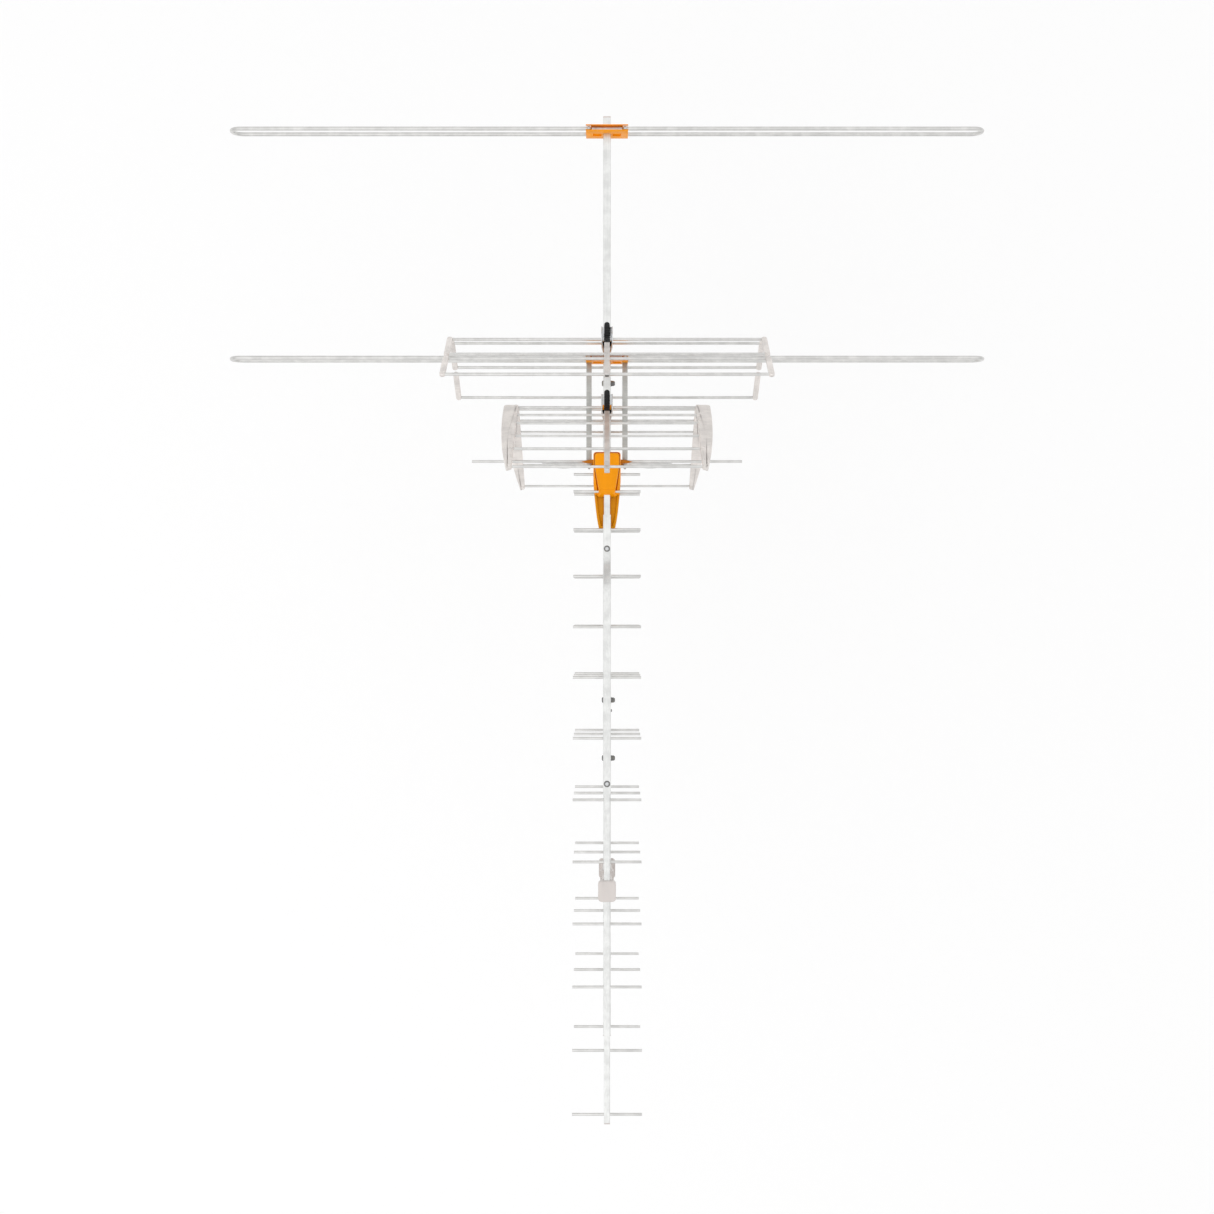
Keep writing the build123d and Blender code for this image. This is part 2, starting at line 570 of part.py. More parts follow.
cover_base = HULL_Z + SEAL
jack_top = -COVER_TOP
upper_cover = cover_block(0, cover_base, COVER_TOP)
upper_cover = upper_cover - cover_block(HULL_WALL, cover_base - 0.01, COVER_TOP - HULL_WALL)
upper_cover = upper_cover - block(-6, 6, 200, ROOT_BACK, ROOT_Z - 6, ROOT_Z + 6)
upper_cover = upper_cover - cylinder_x(DIRECTOR_R, -60, 60, 228, ROOT_Z)
lower_cover = flipped(upper_cover)
lower_cover = lower_cover - cylinder_z(JACK_COLLAR_R, jack_top - 5, jack_top + 5, 0, JACK_Y)
for x, y in COVER_SCREWS:
    for side in (-1, 1):
        lower_cover = lower_cover - cylinder_z(1.6, -80, -30, side * x, y)
save("upper_cover", upper_cover)
save("lower_cover", lower_cover)

seal = extrude(Plane.XY.offset(HULL_Z) * cover_outline(COVER_FOOT, 0), SEAL)
seal = seal - extrude(Plane.XY.offset(HULL_Z - 1) * cover_outline(COVER_FOOT, 3), 4)
save("cover_seals", seal, flipped(seal))

screws = []
for x, y in COVER_SCREWS:
    for side in (-1, 1):
        shank = cylinder_z(1.6, -COVER_TOP, HULL_Z + 2, side * x, y)
        screws.append(shank + cylinder_z(3.0, -COVER_TOP - 1.6, -COVER_TOP, side * x, y))
save("cover_screws", *screws)

board_z = 13.0
board = block(-20, 20, 232, 298, board_z, board_z + 1.6)
for x, y in COVER_SCREWS:
    board = board - cylinder_z(2.2, 0, 30, x, y) - cylinder_z(2.2, 0, 30, -x, y)
save("circuit_board", board)
can = block(-10, 10, 246, 270, board_z + 1.6, board_z + 11)
can = can - block(-9.4, 9.4, 246.6, 269.4, board_z + 1, board_z + 10.4)
save("shield_can", can)

thread_top = jack_top - JACK_NUT
thread_end = thread_top - JACK_THREAD
jack = cylinder_z(JACK_R, thread_end, thread_top, 0, JACK_Y)
jack = jack + Pos(0, JACK_Y, thread_top) * extrude(RegularPolygon(7.4, 6), JACK_NUT)
jack = jack + cylinder_z(JACK_COLLAR_R, jack_top, jack_top + HULL_WALL, 0, JACK_Y)
jack = jack + cylinder_z(7.0, jack_top + HULL_WALL, jack_top + 6, 0, JACK_Y)
jack = jack - cylinder_z(3.4, thread_end - 1, jack_top - 1, 0, JACK_Y)
save("coax_jack", jack)

terminals = []
for side in (-1, 1):
    post_x = side * 18.0
    terminals.append(block(post_x - 2, post_x + 2, DIPOLE_Y - 4, DIPOLE_Y + 4, 2.75, board_z))
save("dipole_terminals", *terminals)

# ---------------------------------------------------------------- dipole
arm_rod = cylinder_x(2.75, 14, DIPOLE_HALF, DIPOLE_Y, 0)
save("dipole_arms", arm_rod, other_side(arm_rod))

blade_outline = (Spline((41, 287), (60, 279.5), (88, 277), (112, 280), (131, 287))
                 + Line((131, 287), (131, 291)) + Line((131, 291), (41, 291))
                 + Line((41, 291), (41, 287)))
blade = extrude(Plane.XY.offset(-4.4) * make_face(blade_outline), 1.6)
save("dipole_blades", blade, other_side(blade))

shroud = Pos((HULL_HALF + 51) / 2, DIPOLE_Y, 0) * Rot(0, 90, 0) * Cone(4.3, 3.0, 51 - HULL_HALF)
shroud = shroud - cylinder_x(2.75, 20, 60, DIPOLE_Y, 0)
shroud = shroud - block(40, 60, 270, 300, -6, -2.8)
save("dipole_shrouds", shroud, other_side(shroud))

# ---------------------------------------------------------------- mast mount
plate_gap = BOOM / 2
plates = None
for side in (-1, 1):
    plate = block(side * plate_gap, side * (plate_gap + 2.5), 190, 220, SOCKET_TOP, 7.5)
    for y in bracket_bolt_ys:
        plate = plate - cylinder_x(CROSS_BOLT_R, -20, 20, y, 0)
    plates = plate if plates is None else plates + plate
roof_plate = cylinder_z(MAST_R + SOCKET_WALL, SOCKET_TOP, SOCKET_TOP + 3, 0, MAST_Y)
save("mast_bracket", plates + roof_plate)

socket_low = SOCKET_TOP - SOCKET_LENGTH
socket = cylinder_z(MAST_R + SOCKET_WALL, socket_low, SOCKET_TOP, 0, MAST_Y)
for z in THUMB_SCREW_Z:
    socket = socket + cylinder_y(7.0, MAST_Y + MAST_R + 1, MAST_Y + MAST_R + 9, 0, z)
socket = socket - cylinder_z(MAST_R, socket_low - 1, SOCKET_TOP, 0, MAST_Y)
for z in THUMB_SCREW_Z:
    socket = socket - cylinder_y(THUMB_SCREW_R + RUNNING_FIT, MAST_Y, MAST_Y + 60, 0, z)
save("mast_socket", socket)

mast_bolts = []
for y in bracket_bolt_ys:
    grip = plate_gap + 2.5
    bolt = cylinder_x(CROSS_BOLT_R, -grip, grip, y, 0)
    mast_bolts.append(bolt + cylinder_x(5.0, -grip - 3, -grip, y, 0)
                      + cylinder_x(5.0, grip, grip + 4, y, 0))
save("mast_bracket_bolts", *mast_bolts)


def thumb_screw(z):
    """A wing-headed clamp screw in the socket's rear wall."""
    tip = MAST_Y + MAST_R + 0.4
    head = MAST_Y + MAST_R + 16
    screw = cylinder_y(THUMB_SCREW_R, tip, head, 0, z)
    grip = block(-10, 10, head, head + 9, z - 1.6, z + 1.6)
    grip = fillet(grip.edges().filter_by(Axis.Z), 3.0)
    return screw + cylinder_y(4.6, head - 3, head + 5, 0, z) + grip


for place, z in zip(("upper", "lower"), THUMB_SCREW_Z):
    save(f"thumb_screw_{place}", thumb_screw(z))
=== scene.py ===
import json
import math
import bmesh
import bpy
import numpy as np
from bpy.props import FloatProperty, FloatVectorProperty, IntProperty, PointerProperty
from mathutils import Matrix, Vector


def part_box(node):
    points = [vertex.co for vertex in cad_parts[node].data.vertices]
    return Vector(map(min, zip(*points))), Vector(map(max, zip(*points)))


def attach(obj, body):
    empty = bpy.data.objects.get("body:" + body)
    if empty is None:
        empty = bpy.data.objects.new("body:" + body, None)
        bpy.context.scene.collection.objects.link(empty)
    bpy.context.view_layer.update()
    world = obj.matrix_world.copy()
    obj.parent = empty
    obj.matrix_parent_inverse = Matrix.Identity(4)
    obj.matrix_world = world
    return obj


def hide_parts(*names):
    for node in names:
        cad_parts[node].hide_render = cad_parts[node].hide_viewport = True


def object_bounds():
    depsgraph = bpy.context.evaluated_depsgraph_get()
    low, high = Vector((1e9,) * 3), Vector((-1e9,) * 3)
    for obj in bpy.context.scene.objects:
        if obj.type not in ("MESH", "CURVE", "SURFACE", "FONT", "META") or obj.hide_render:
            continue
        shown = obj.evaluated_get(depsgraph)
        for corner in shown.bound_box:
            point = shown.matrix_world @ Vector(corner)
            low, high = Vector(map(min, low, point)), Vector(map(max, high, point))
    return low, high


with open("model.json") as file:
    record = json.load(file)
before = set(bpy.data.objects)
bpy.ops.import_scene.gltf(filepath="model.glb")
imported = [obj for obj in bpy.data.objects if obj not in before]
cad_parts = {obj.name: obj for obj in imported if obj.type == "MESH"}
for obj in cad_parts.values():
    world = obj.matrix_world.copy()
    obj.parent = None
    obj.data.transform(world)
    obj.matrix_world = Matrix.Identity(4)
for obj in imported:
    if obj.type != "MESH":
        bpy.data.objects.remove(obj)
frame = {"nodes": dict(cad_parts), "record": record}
cad_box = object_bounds()

bl_info = {
    "name": "Three-boom antenna",
    "version": (1, 0, 0),
    "blender": (4, 5, 0),
    "location": "3D View > Sidebar > Antenna",
    "description": "Dresses the packed antenna frame in rods, housings, brackets and finishes",
    "category": "Object",
}

MM = 0.001
SHARP = math.radians(35.0)          # a smooth surface breaks where it turns more than this
SOFTENED_EDGE = math.radians(32.0)  # edges of a CAD copy that turn more than this are rounded
X_AXIS, Y_AXIS, Z_AXIS = np.eye(3)


# ================================================================ settings
def colour(label, value):
    return FloatVectorProperty(name=label, description=f"Colour of the {label.lower()}",
                               subtype="COLOR", size=3, min=0, max=1, default=value)


def length(label, about, millimetres):
    return FloatProperty(name=label, description=about, subtype="DISTANCE", unit="LENGTH",
                         default=millimetres * MM)


class FinishSettings(bpy.types.PropertyGroup):
    aluminium: colour("Boom tubes", (0.78, 0.785, 0.775))
    rods: colour("Rods", (0.70, 0.695, 0.68))
    taupe: colour("Taupe strips", (0.79, 0.75, 0.72))
    # The spines' colour is the taupe strips' colour darkened: painted shade on the spines
    spine: colour("Panel spines", (0.68, 0.65, 0.625))
    zinc: colour("Zinc plate", (0.60, 0.61, 0.62))
    bolt: colour("Bolt steel", (0.20, 0.20, 0.20))
    feeder: colour("Feeder bars", (0.50, 0.50, 0.48))
    blade: colour("Dipole blades", (0.66, 0.66, 0.65))
    orange: colour("Orange housings", (0.95, 0.335, 0.002))
    # The hull's colour is the orange moulding's colour darkened: painted shade on the hull
    hull: colour("Hull", (0.74, 0.285, 0.002))
    deep_orange: colour("Dipole shrouds", (0.55, 0.19, 0.003))
    black: colour("Black mouldings", (0.012, 0.013, 0.014))
    spacer: colour("Spacer", (0.64, 0.595, 0.57))
    nickel: colour("Nickel plate", (0.66, 0.63, 0.56))
    board: colour("Circuit board", (0.02, 0.14, 0.05))


class RodSettings(bpy.types.PropertyGroup):
    segments: IntProperty(name="Rod segments", description="Faces round a rod or tube", default=28)
    wall: length("Tube wall", "Wall of the directors and reflector rods", 0.8)
    bore_depth: length("Bore depth", "How deep an open tube end shows", 9)
    lip: length("End rounding", "Rounding of a cut tube's rim", 0.35)


class MouldingSettings(bpy.types.PropertyGroup):
    edge: length("Edge rounding", "Rounding of a moulding's edges", 1.2)
    strip_crown: length("Strip crown", "How far a reflector strip bulges", 0.9)


class StageSettings(bpy.types.PropertyGroup):
    floor_drop: length("Floor drop", "How far the floor lies below the antenna", 900)
    floor_shade: colour("Floor", (0.97, 0.97, 0.97))
    camera_height: length("Camera height", "Camera above the middle boom", 3372)
    camera_forward: length("Camera forward", "Camera in front of the mast's axis", 213)
    lens: FloatProperty(name="Lens", description="Focal length in millimetres", default=50.0)
    key_power: FloatProperty(name="Key light", description="Power of the main light", default=8.0)
    sky: FloatProperty(name="Sky", description="Brightness of the studio overhead", default=1.08)
    horizon: FloatProperty(name="Horizon", description="Brightness of the studio's walls",
                           default=0.62)
    glow: FloatProperty(name="Glow", description="Added brightness where the walls meet the floor",
                        default=0.33)


# ================================================================ shader arithmetic
class Field:
    """A shader value that takes part in arithmetic: every operation adds one Math node."""

    def __init__(self, tree, socket):
        self.tree = tree
        self.socket = socket

    def math(self, operation, *operands):
        node = self.tree.nodes.new("ShaderNodeMath")
        node.operation = operation
        for slot, value in zip(node.inputs, operands):
            if isinstance(value, Field):
                self.tree.links.new(value.socket, slot)
            else:
                slot.default_value = value
        return Field(self.tree, node.outputs[0])

    def __add__(self, other):
        return self.math("ADD", self, other)

    def __radd__(self, other):
        return self.math("ADD", other, self)

    def __mul__(self, other):
        return self.math("MULTIPLY", self, other)

    def __rmul__(self, other):
        return self.math("MULTIPLY", other, self)

    def step(self, low, high):
        """0 below low, 1 above high, smooth between."""
        node = self.tree.nodes.new("ShaderNodeMapRange")
        node.interpolation_type = "SMOOTHSTEP"
        node.inputs["From Min"].default_value = low
        node.inputs["From Max"].default_value = high
        self.tree.links.new(self.socket, node.inputs["Value"])
        return Field(self.tree, node.outputs["Result"])


class Finish:
    """One material under construction, read in Object coordinates (metres)."""

    def __init__(self, name, base, roughness, metallic=0.0, **uniform):
        self.material = bpy.data.materials.new(name)
        self.material.use_nodes = True
        self.tree = self.material.node_tree
        self.shader = self.tree.nodes["Principled BSDF"]
        self.material.diffuse_color = (*base, 1.0)
        self.shader.inputs["Base Color"].default_value = (*base, 1.0)
        self.shader.inputs["Roughness"].default_value = roughness
        self.shader.inputs["Metallic"].default_value = metallic
        for socket, value in uniform.items():
            self.shader.inputs[socket.replace("_", " ")].default_value = value
        self.place = self.node("ShaderNodeTexCoord").outputs["Object"]

    def node(self, kind, settings=None, sockets=None):
        """Any node: its settings first, then the values or links of its sockets."""
        node = self.tree.nodes.new(kind)
        for key, value in (settings or {}).items():
            setattr(node, key, value)
        for key, value in (sockets or {}).items():
            if isinstance(value, Field):
                value = value.socket
            if isinstance(value, bpy.types.NodeSocket):
                self.tree.links.new(value, node.inputs[key])
            else:
                node.inputs[key].default_value = value
        return node

    def noise(self, scale, detail=3.0, stretch=(1, 1, 1), roughness=0.55):
        """Cloudy noise, finer along an axis the more it is stretched."""
        stretched = self.node("ShaderNodeMapping", sockets={"Vector": self.place, "Scale": stretch})
        noise = self.node("ShaderNodeTexNoise", sockets={
            "Vector": stretched.outputs[0], "Scale": scale, "Detail": detail,
            "Roughness": roughness})
        return Field(self.tree, noise.outputs[0])

    def cells(self, scale, stretch=(1, 1, 1)):
        """The distance to the nearest of many scattered points, in cells."""
        stretched = self.node("ShaderNodeMapping", sockets={"Vector": self.place, "Scale": stretch})
        cells = self.node("ShaderNodeTexVoronoi", sockets={
            "Vector": stretched.outputs[0], "Scale": scale})
        return Field(self.tree, cells.outputs["Distance"])

    def facing(self, axis):
        """How far the surface faces along an axis, from -1 to 1."""
        normal = self.node("ShaderNodeTexCoord").outputs["Normal"]
        parts = self.node("ShaderNodeSeparateXYZ", sockets={0: normal})
        return Field(self.tree, parts.outputs["XYZ".index(axis)])

    def mix(self, factor, first, second):
        """A colour between two colours, by a factor that varies."""
        mix = self.node("ShaderNodeMix", {"data_type": "RGBA"},
                        {"Factor": factor, 6: first, 7: second})
        return mix.outputs[2]

    def base_from(self, socket):
        self.tree.links.new(socket, self.shader.inputs["Base Color"])

    def rough(self, field):
        self.tree.links.new(field.socket, self.shader.inputs["Roughness"])

    def bump(self, height, strength, distance):
        bump = self.node("ShaderNodeBump", sockets={
            "Height": height, "Strength": strength, "Distance": distance})
        self.tree.links.new(bump.outputs["Normal"], self.shader.inputs["Normal"])


def shade(rgb, factor):
    """A colour made lighter or darker, with its alpha."""
    return (*(min(1.0, c * factor) for c in rgb), 1.0)


def drawn_tube(name, rgb, along):
    """Drawn aluminium: fine die lines along the tube, a cloudy oxide and a few dull specks."""
    finish = Finish(name, rgb, 0.30, metallic=1.0)
    stretch = [900.0, 900.0, 900.0]
    stretch["XYZ".index(along)] = 9.0
    lines = finish.noise(1.0, 3.0, tuple(stretch), 0.7)
    cloud = finish.noise(55.0, 4.0)
    specks = finish.cells(700.0).step(0.16, 0.05)
    tone = (cloud * 0.55 + lines * 0.45).step(0.35, 0.68)
    worn = finish.mix(tone, shade(rgb, 0.86), shade(rgb, 1.08))
    finish.base_from(finish.mix(specks * cloud.step(0.5, 0.7) * 0.5, worn, shade(rgb, 0.6)))
    finish.rough(0.24 + cloud * 0.12 + lines * 0.08 + specks * 0.10)
    finish.bump(lines, 0.22, 0.00006)
    return finish.material


def satin_sheet(name, rgb, roughness=0.42, metallic=0.75):
    """Anodised or lacquered sheet: satin, with rolling grain and handling marks."""
    finish = Finish(name, rgb, roughness, metallic=metallic)
    grain = finish.noise(1.0, 4.0, (60.0, 700.0, 700.0), 0.65)
    cloud = finish.noise(38.0, 3.0)
    tone = (grain * 0.4 + cloud * 0.6).step(0.36, 0.66)
    finish.base_from(finish.mix(tone, shade(rgb, 0.88), shade(rgb, 1.10)))
    finish.rough(roughness - 0.08 + grain * 0.10 + cloud * 0.08)
    finish.bump(grain, 0.16, 0.00005)
    return finish.material


def zinc_plate(name, rgb):
    """Zinc plate: small bright and dull spangles and a trace of yellow passivation."""
    finish = Finish(name, rgb, 0.30, metallic=1.0)
    spangle = finish.cells(420.0)
    cloud = finish.noise(120.0, 3.0)
    tone = (spangle * 0.7 + cloud * 0.5).step(0.25, 0.75)
    plate = finish.mix(tone, shade(rgb, 0.80), shade(rgb, 1.15))
    finish.base_from(finish.mix(cloud.step(0.52, 0.75) * 0.35, plate, (0.52, 0.47, 0.30, 1)))
    finish.rough(0.22 + spangle * 0.18 + cloud * 0.08)
    finish.bump(spangle + cloud, 0.15, 0.00008)
    return finish.material


def moulded(name, rgb, roughness=0.38, depth=0.92, grain_scale=2600.0, specular=0.25):
    """Moulded plastic: a fine spark-eroded grain, faint flow clouds and a little settled dust."""
    finish = Finish(name, rgb, roughness, Specular_IOR_Level=specular)
    grain = finish.noise(grain_scale, 2.0)
    flow = finish.noise(24.0, 3.0, (1.0, 0.35, 1.0))
    dust = finish.noise(180.0, 4.0).step(0.55, 0.78) * finish.facing("Z").step(0.55, 1.0)
    body = finish.mix(flow.step(0.35, 0.68), shade(rgb, depth), shade(rgb, 1.06))
    pale = tuple(0.9 * c + 0.1 * 0.6 for c in rgb)
    finish.base_from(finish.mix(dust * 0.15, body, (*pale, 1)))
    finish.rough(roughness - 0.05 + grain * 0.12 + dust * 0.15)
    finish.bump(grain, 0.22, 0.00010)
    return finish.material


def make_finishes(settings):
    return {
        "tube_x": drawn_tube("drawn aluminium rods", settings.rods, "X"),
        "tube_y": drawn_tube("drawn aluminium booms", settings.aluminium, "Y"),
        "taupe": satin_sheet("taupe strips", settings.taupe),
        # The spine finish is the taupe sheet darkened: painted shade
        "spine": satin_sheet("panel spine darkened for painted shade", settings.spine),
        "blade": satin_sheet("blade sheet", settings.blade, 0.36, 0.9),
        "feeder": satin_sheet("feeder bar", settings.feeder, 0.46, 0.8),
        "zinc": zinc_plate("zinc plate", settings.zinc),
        "orange": moulded("orange moulding", settings.orange, specular=0.13),
        # The hull finish is the orange moulding darkened: painted shade
        "hull": moulded("hull moulding darkened for painted shade", settings.hull, 0.40, specular=0.13),
        "bolt": zinc_plate("dark bolt steel", settings.bolt),
        "deep_orange": moulded("deep orange moulding", settings.deep_orange, 0.42),
        "black": moulded("black moulding", settings.black, 0.36, 0.8, 1800.0),
        "spacer": moulded("spacer moulding", settings.spacer, 0.46),
        "nickel": satin_sheet("nickel plate", settings.nickel, 0.22, 1.0),
        "board": moulded("circuit board", settings.board, 0.25),
        "seal": moulded("rubber seal", settings.black, 0.62, 0.8, 1200.0),
    }


finishes = {}


# ================================================================ surfaces
def grid_faces(rows, columns):
    """Quads between neighbouring rings of points, each ring closed on itself."""
    ring = np.arange(rows - 1)[:, None] * columns
    here = np.arange(columns)[None, :]
    after = (here + 1) % columns
    return np.stack([ring + here, ring + after, ring + columns + after, ring + columns + here],
                    axis=-1).reshape(-1, 4)


def outward(points, quads, fans):
    """Faces as lists, turned outwards by the sign of the volume that they enclose."""
    halves = np.concatenate([quads[:, [0, 1, 2]], quads[:, [0, 2, 3]], fans])
    a, b, c = (points[halves[:, k]] - points.mean(0) for k in range(3))
    if np.einsum("ij,ij->i", a, np.cross(b, c)).sum() < 0:
        quads, fans = quads[:, ::-1], fans[:, ::-1]
    return quads.tolist() + fans.tolist()


def shell(rings):
    """A closed surface over rings of points (rows, columns, 3): quads between the rings, and at
    each end a fan to that ring's middle."""
    rings = np.asarray(rings, float)
    rows, columns = rings.shape[:2]
    points = np.concatenate([rings.reshape(-1, 3), [rings[0].mean(0)], [rings[-1].mean(0)]])
    quads = grid_faces(rows, columns)
    here = np.arange(columns)
    after = (here + 1) % columns
    first, last = rows * columns, rows * columns + 1
    offset = (rows - 1) * columns
    fans = np.concatenate([
        np.stack([np.full(columns, first), after, here], axis=-1),
        np.stack([np.full(columns, last), offset + here, offset + after], axis=-1)])
    return points, outward(points, quads, fans)


def joined(parts, finish):
    """Several surfaces as one list of points, one of faces and each face's finish."""
    points, faces, worn, count = [], [], [], 0
    for part_points, part_faces, *own in parts:
        points.append(part_points)
        faces += [[index + count for index in face] for face in part_faces]
        worn += [own[0] if own else finish] * len(part_faces)
        count += len(part_points)
    return np.concatenate(points), faces, worn


def piece(name, parts, finish, node):
    """A named object from surfaces, which stands for a CAD node and rides on its body."""
    points, faces, worn = joined(parts, finish)
    mesh = bpy.data.meshes.new(name)
    mesh.from_pydata(points.tolist(), [], faces)
    mesh.polygons.foreach_set("use_smooth", np.ones(len(faces), bool))
    mesh.set_sharp_from_angle(angle=SHARP)
    order = sorted(set(worn), key=lambda w: w != finish)
    for each in order:
        mesh.materials.append(finishes[each])
    mesh.polygons.foreach_set("material_index", [order.index(w) for w in worn])
    mesh.update()
    return stands_for(name, mesh, node)


def stands_for(name, mesh, node):
    """An object in the scene that takes the place and the body of a CAD node."""
    made = bpy.data.objects.new(name, mesh)
    bpy.context.scene.collection.objects.link(made)
    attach(made, body_of_node(node))
    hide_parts(node)
    return made


def mm(*rows):
    """Rows of millimetres as an array in metres."""
    return np.array(rows, float) * MM


def placed(points, origin, u, v, w):
    """Points given along three axes from an origin."""
    points = np.asarray(points, float)
    return (np.asarray(origin) + points[..., :1] * np.asarray(u)
            + points[..., 1:2] * np.asarray(v) + points[..., 2:] * np.asarray(w))


def circle(radius, segments):
    turn = np.linspace(0, 2 * np.pi, segments, endpoint=False)
    return np.stack([radius * np.cos(turn), radius * np.sin(turn)], axis=-1)


def rounded(corners, radii, steps=6):
    """A polygon whose corners are arcs: each arc's points blend the two tangent points
    through the corner as a quadratic curve does, so the outline stays inside the polygon."""
    corners = np.asarray(corners, float)
    radii = np.broadcast_to(np.asarray(radii, float), len(corners))
    before = np.roll(corners, 1, axis=0) - corners
    after = np.roll(corners, -1, axis=0) - corners
    long_before = np.linalg.norm(before, axis=1)
    long_after = np.linalg.norm(after, axis=1)
    reach = np.minimum(radii, 0.49 * np.minimum(long_before, long_after))[:, None]
    start = corners + before / long_before[:, None] * reach
    end = corners + after / long_after[:, None] * reach
    t = np.linspace(0, 1, steps)[None, :, None]
    arc = (1 - t) ** 2 * start[:, None] + 2 * t * (1 - t) * corners[:, None] + t ** 2 * end[:, None]
    return arc.reshape(-1, 2)


def inset(outline, distance):
    """An outline moved inwards along its own normals."""
    tangent = np.roll(outline, -1, axis=0) - np.roll(outline, 1, axis=0)
    tangent /= np.linalg.norm(tangent, axis=1, keepdims=True) + 1e-12
    x, y = outline[:, 0], outline[:, 1]
    area = (x * np.roll(y, -1) - y * np.roll(x, -1)).sum()
    normal = np.stack([tangent[:, 1], -tangent[:, 0]], axis=-1) * np.sign(area)
    return outline - normal * distance


def plate(outline, low, high, edge, steps=4):
    """An outline carried from low to high along the third axis, with quarter-round edges."""
    quarter = np.linspace(0, np.pi / 2, steps)
    depth = np.concatenate([edge * (1 - np.sin(quarter)), edge * (1 - np.sin(quarter[::-1]))])
    lift = np.concatenate([low + edge * (1 - np.cos(quarter)),
                           high - edge * (1 - np.cos(quarter[::-1]))])
    rings = [np.column_stack([inset(outline, d), np.full(len(outline), h)])
             for d, h in zip(depth, lift)]
    return np.array(rings)


def solid_plate(outline, low, high, edge, origin, u, v, w):
    return shell(placed(plate(outline, low, high, edge), origin, u, v, w))


def turned(profile, origin, axis, segments=32):
    """A profile of (distance along the axis, radius) pairs turned about an axis."""
    profile = np.asarray(profile, float)
    axis = np.asarray(axis, float)
    side = np.cross(axis, [0.0, 0.0, 1.0] if abs(axis[2]) < 0.9 else [1.0, 0.0, 0.0])
    side /= np.linalg.norm(side)
    up = np.cross(axis, side)
    ring = circle(1.0, segments)
    spokes = ring[:, :1] * side + ring[:, 1:] * up
    rings = (np.asarray(origin) + profile[:, None, :1] * axis
             + profile[:, None, 1:] * spokes[None, :, :])
    return shell(rings)


def open_tube(centre, half, radius, settings, axis=X_AXIS):
    """A straight tube with a rounded rim and a dark bore at each end."""
    lip, bore = settings.lip, radius - settings.wall
    deep = half - settings.bore_depth
    right = [(deep, bore), (half - lip, bore), (half - 0.3 * lip, bore + 0.3 * lip),
             (half, bore + lip), (half, radius - lip), (half - 0.3 * lip, radius - 0.3 * lip),
             (half - lip, radius)]
    right = np.array(right)
    left = right * [-1, 1]
    return turned(np.concatenate([left, right[::-1]]), centre, axis, settings.segments)


def islands(node):
    """The boxes of a CAD node's separate solids as (count, low or high, 3), rear to front.
    Points that coincide are one point; the smallest label spreads over each solid."""
    mesh = frame["nodes"][node].data
    points = np.empty(len(mesh.vertices) * 3)
    mesh.vertices.foreach_get("co", points)
    points = points.reshape(-1, 3)
    mesh.calc_loop_triangles()
    triangles = np.empty(len(mesh.loop_triangles) * 3, int)
    mesh.loop_triangles.foreach_get("vertices", triangles)
    _, same = np.unique(np.round(points, 6), axis=0, return_inverse=True)
    same = same.reshape(-1)
    faces = same[triangles].reshape(-1, 3)
    label = np.arange(same.max() + 1)
    while True:
        least = label[faces].min(axis=1)
        new = label.copy()
        np.minimum.at(new, faces.reshape(-1), np.repeat(least, 3))
        new = new[new]
        if np.array_equal(new, label):
            break
        label = new
    solid_of = label[same]
    boxes = [[points[solid_of == s].min(0), points[solid_of == s].max(0)]
             for s in np.unique(solid_of)]
    return np.array(sorted(boxes, key=lambda b: (-round(b[0][1], 4), round(b[0][2], 4), b[0][0])))


def solids(node):
    """Each of a CAD node's solids as its low corner, high corner, middle and half size."""
    for low, high in islands(node):
        yield low, high, (low + high) / 2, (high - low) / 2


def box_of(node):
    return np.array([list(corner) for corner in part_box(node)])


def body_of_node(node):
    bodies = frame["record"]["behaviour"]["bodies"]
    return next(body for body, members in bodies.items() if node in members)


def dress(node, finish):
    """Gives a CAD node its finish."""
    data = frame["nodes"][node].data
    data.materials.clear()
    data.materials.append(finishes[finish])


# ================================================================ shapes of the pieces
def slab(half_u, half_v, radius, steps=6):
    """The outline of a rectangle with rounded corners."""
    return rounded([(half_u, -half_v), (half_u, half_v), (-half_u, half_v), (-half_u, -half_v)],
                   radius, steps)


def both_sides(right):
    """A closed outline from the corners of its right side, front to back."""
    right = np.asarray(right, float)
    return np.concatenate([right, right[::-1] * [-1, 1]])


def mirrored(part, axis, middle=0.0):
    """A surface on the other side of a plane, with its faces turned round to point outwards."""
    points, faces = part
    points = points.copy()
    points[:, axis] = 2 * middle - points[:, axis]
    return points, [face[::-1] for face in faces]


def ring(profile, origin, axis, segments=32):
    """A closed profile of (distance, radius) pairs turned about an axis: a collar with a hole."""
    profile = np.asarray(profile, float)
    points, faces = turned(profile, origin, axis, segments)
    rows = len(profile)
    points = points[:rows * segments]
    quads = grid_faces(rows + 1, segments) % (rows * segments)
    return points, outward(points, quads, np.empty((0, 3), int))


def hollow_bar(outline, wall, start, end, depth, origin, u, v, w):
    """A tube of any outline, open at both ends as deep as its bore shows."""
    bore = inset(outline, wall)
    rim = 0.25 * MM
    levels = [(bore, start + depth), (bore, start), (inset(outline, rim), start),
              (outline, start + rim), (outline, end - rim), (inset(outline, rim), end),
              (bore, end), (bore, end - depth)]
    rings = [np.column_stack([edge, np.full(len(edge), height)]) for edge, height in levels]
    return shell(placed(rings, origin, u, v, w))


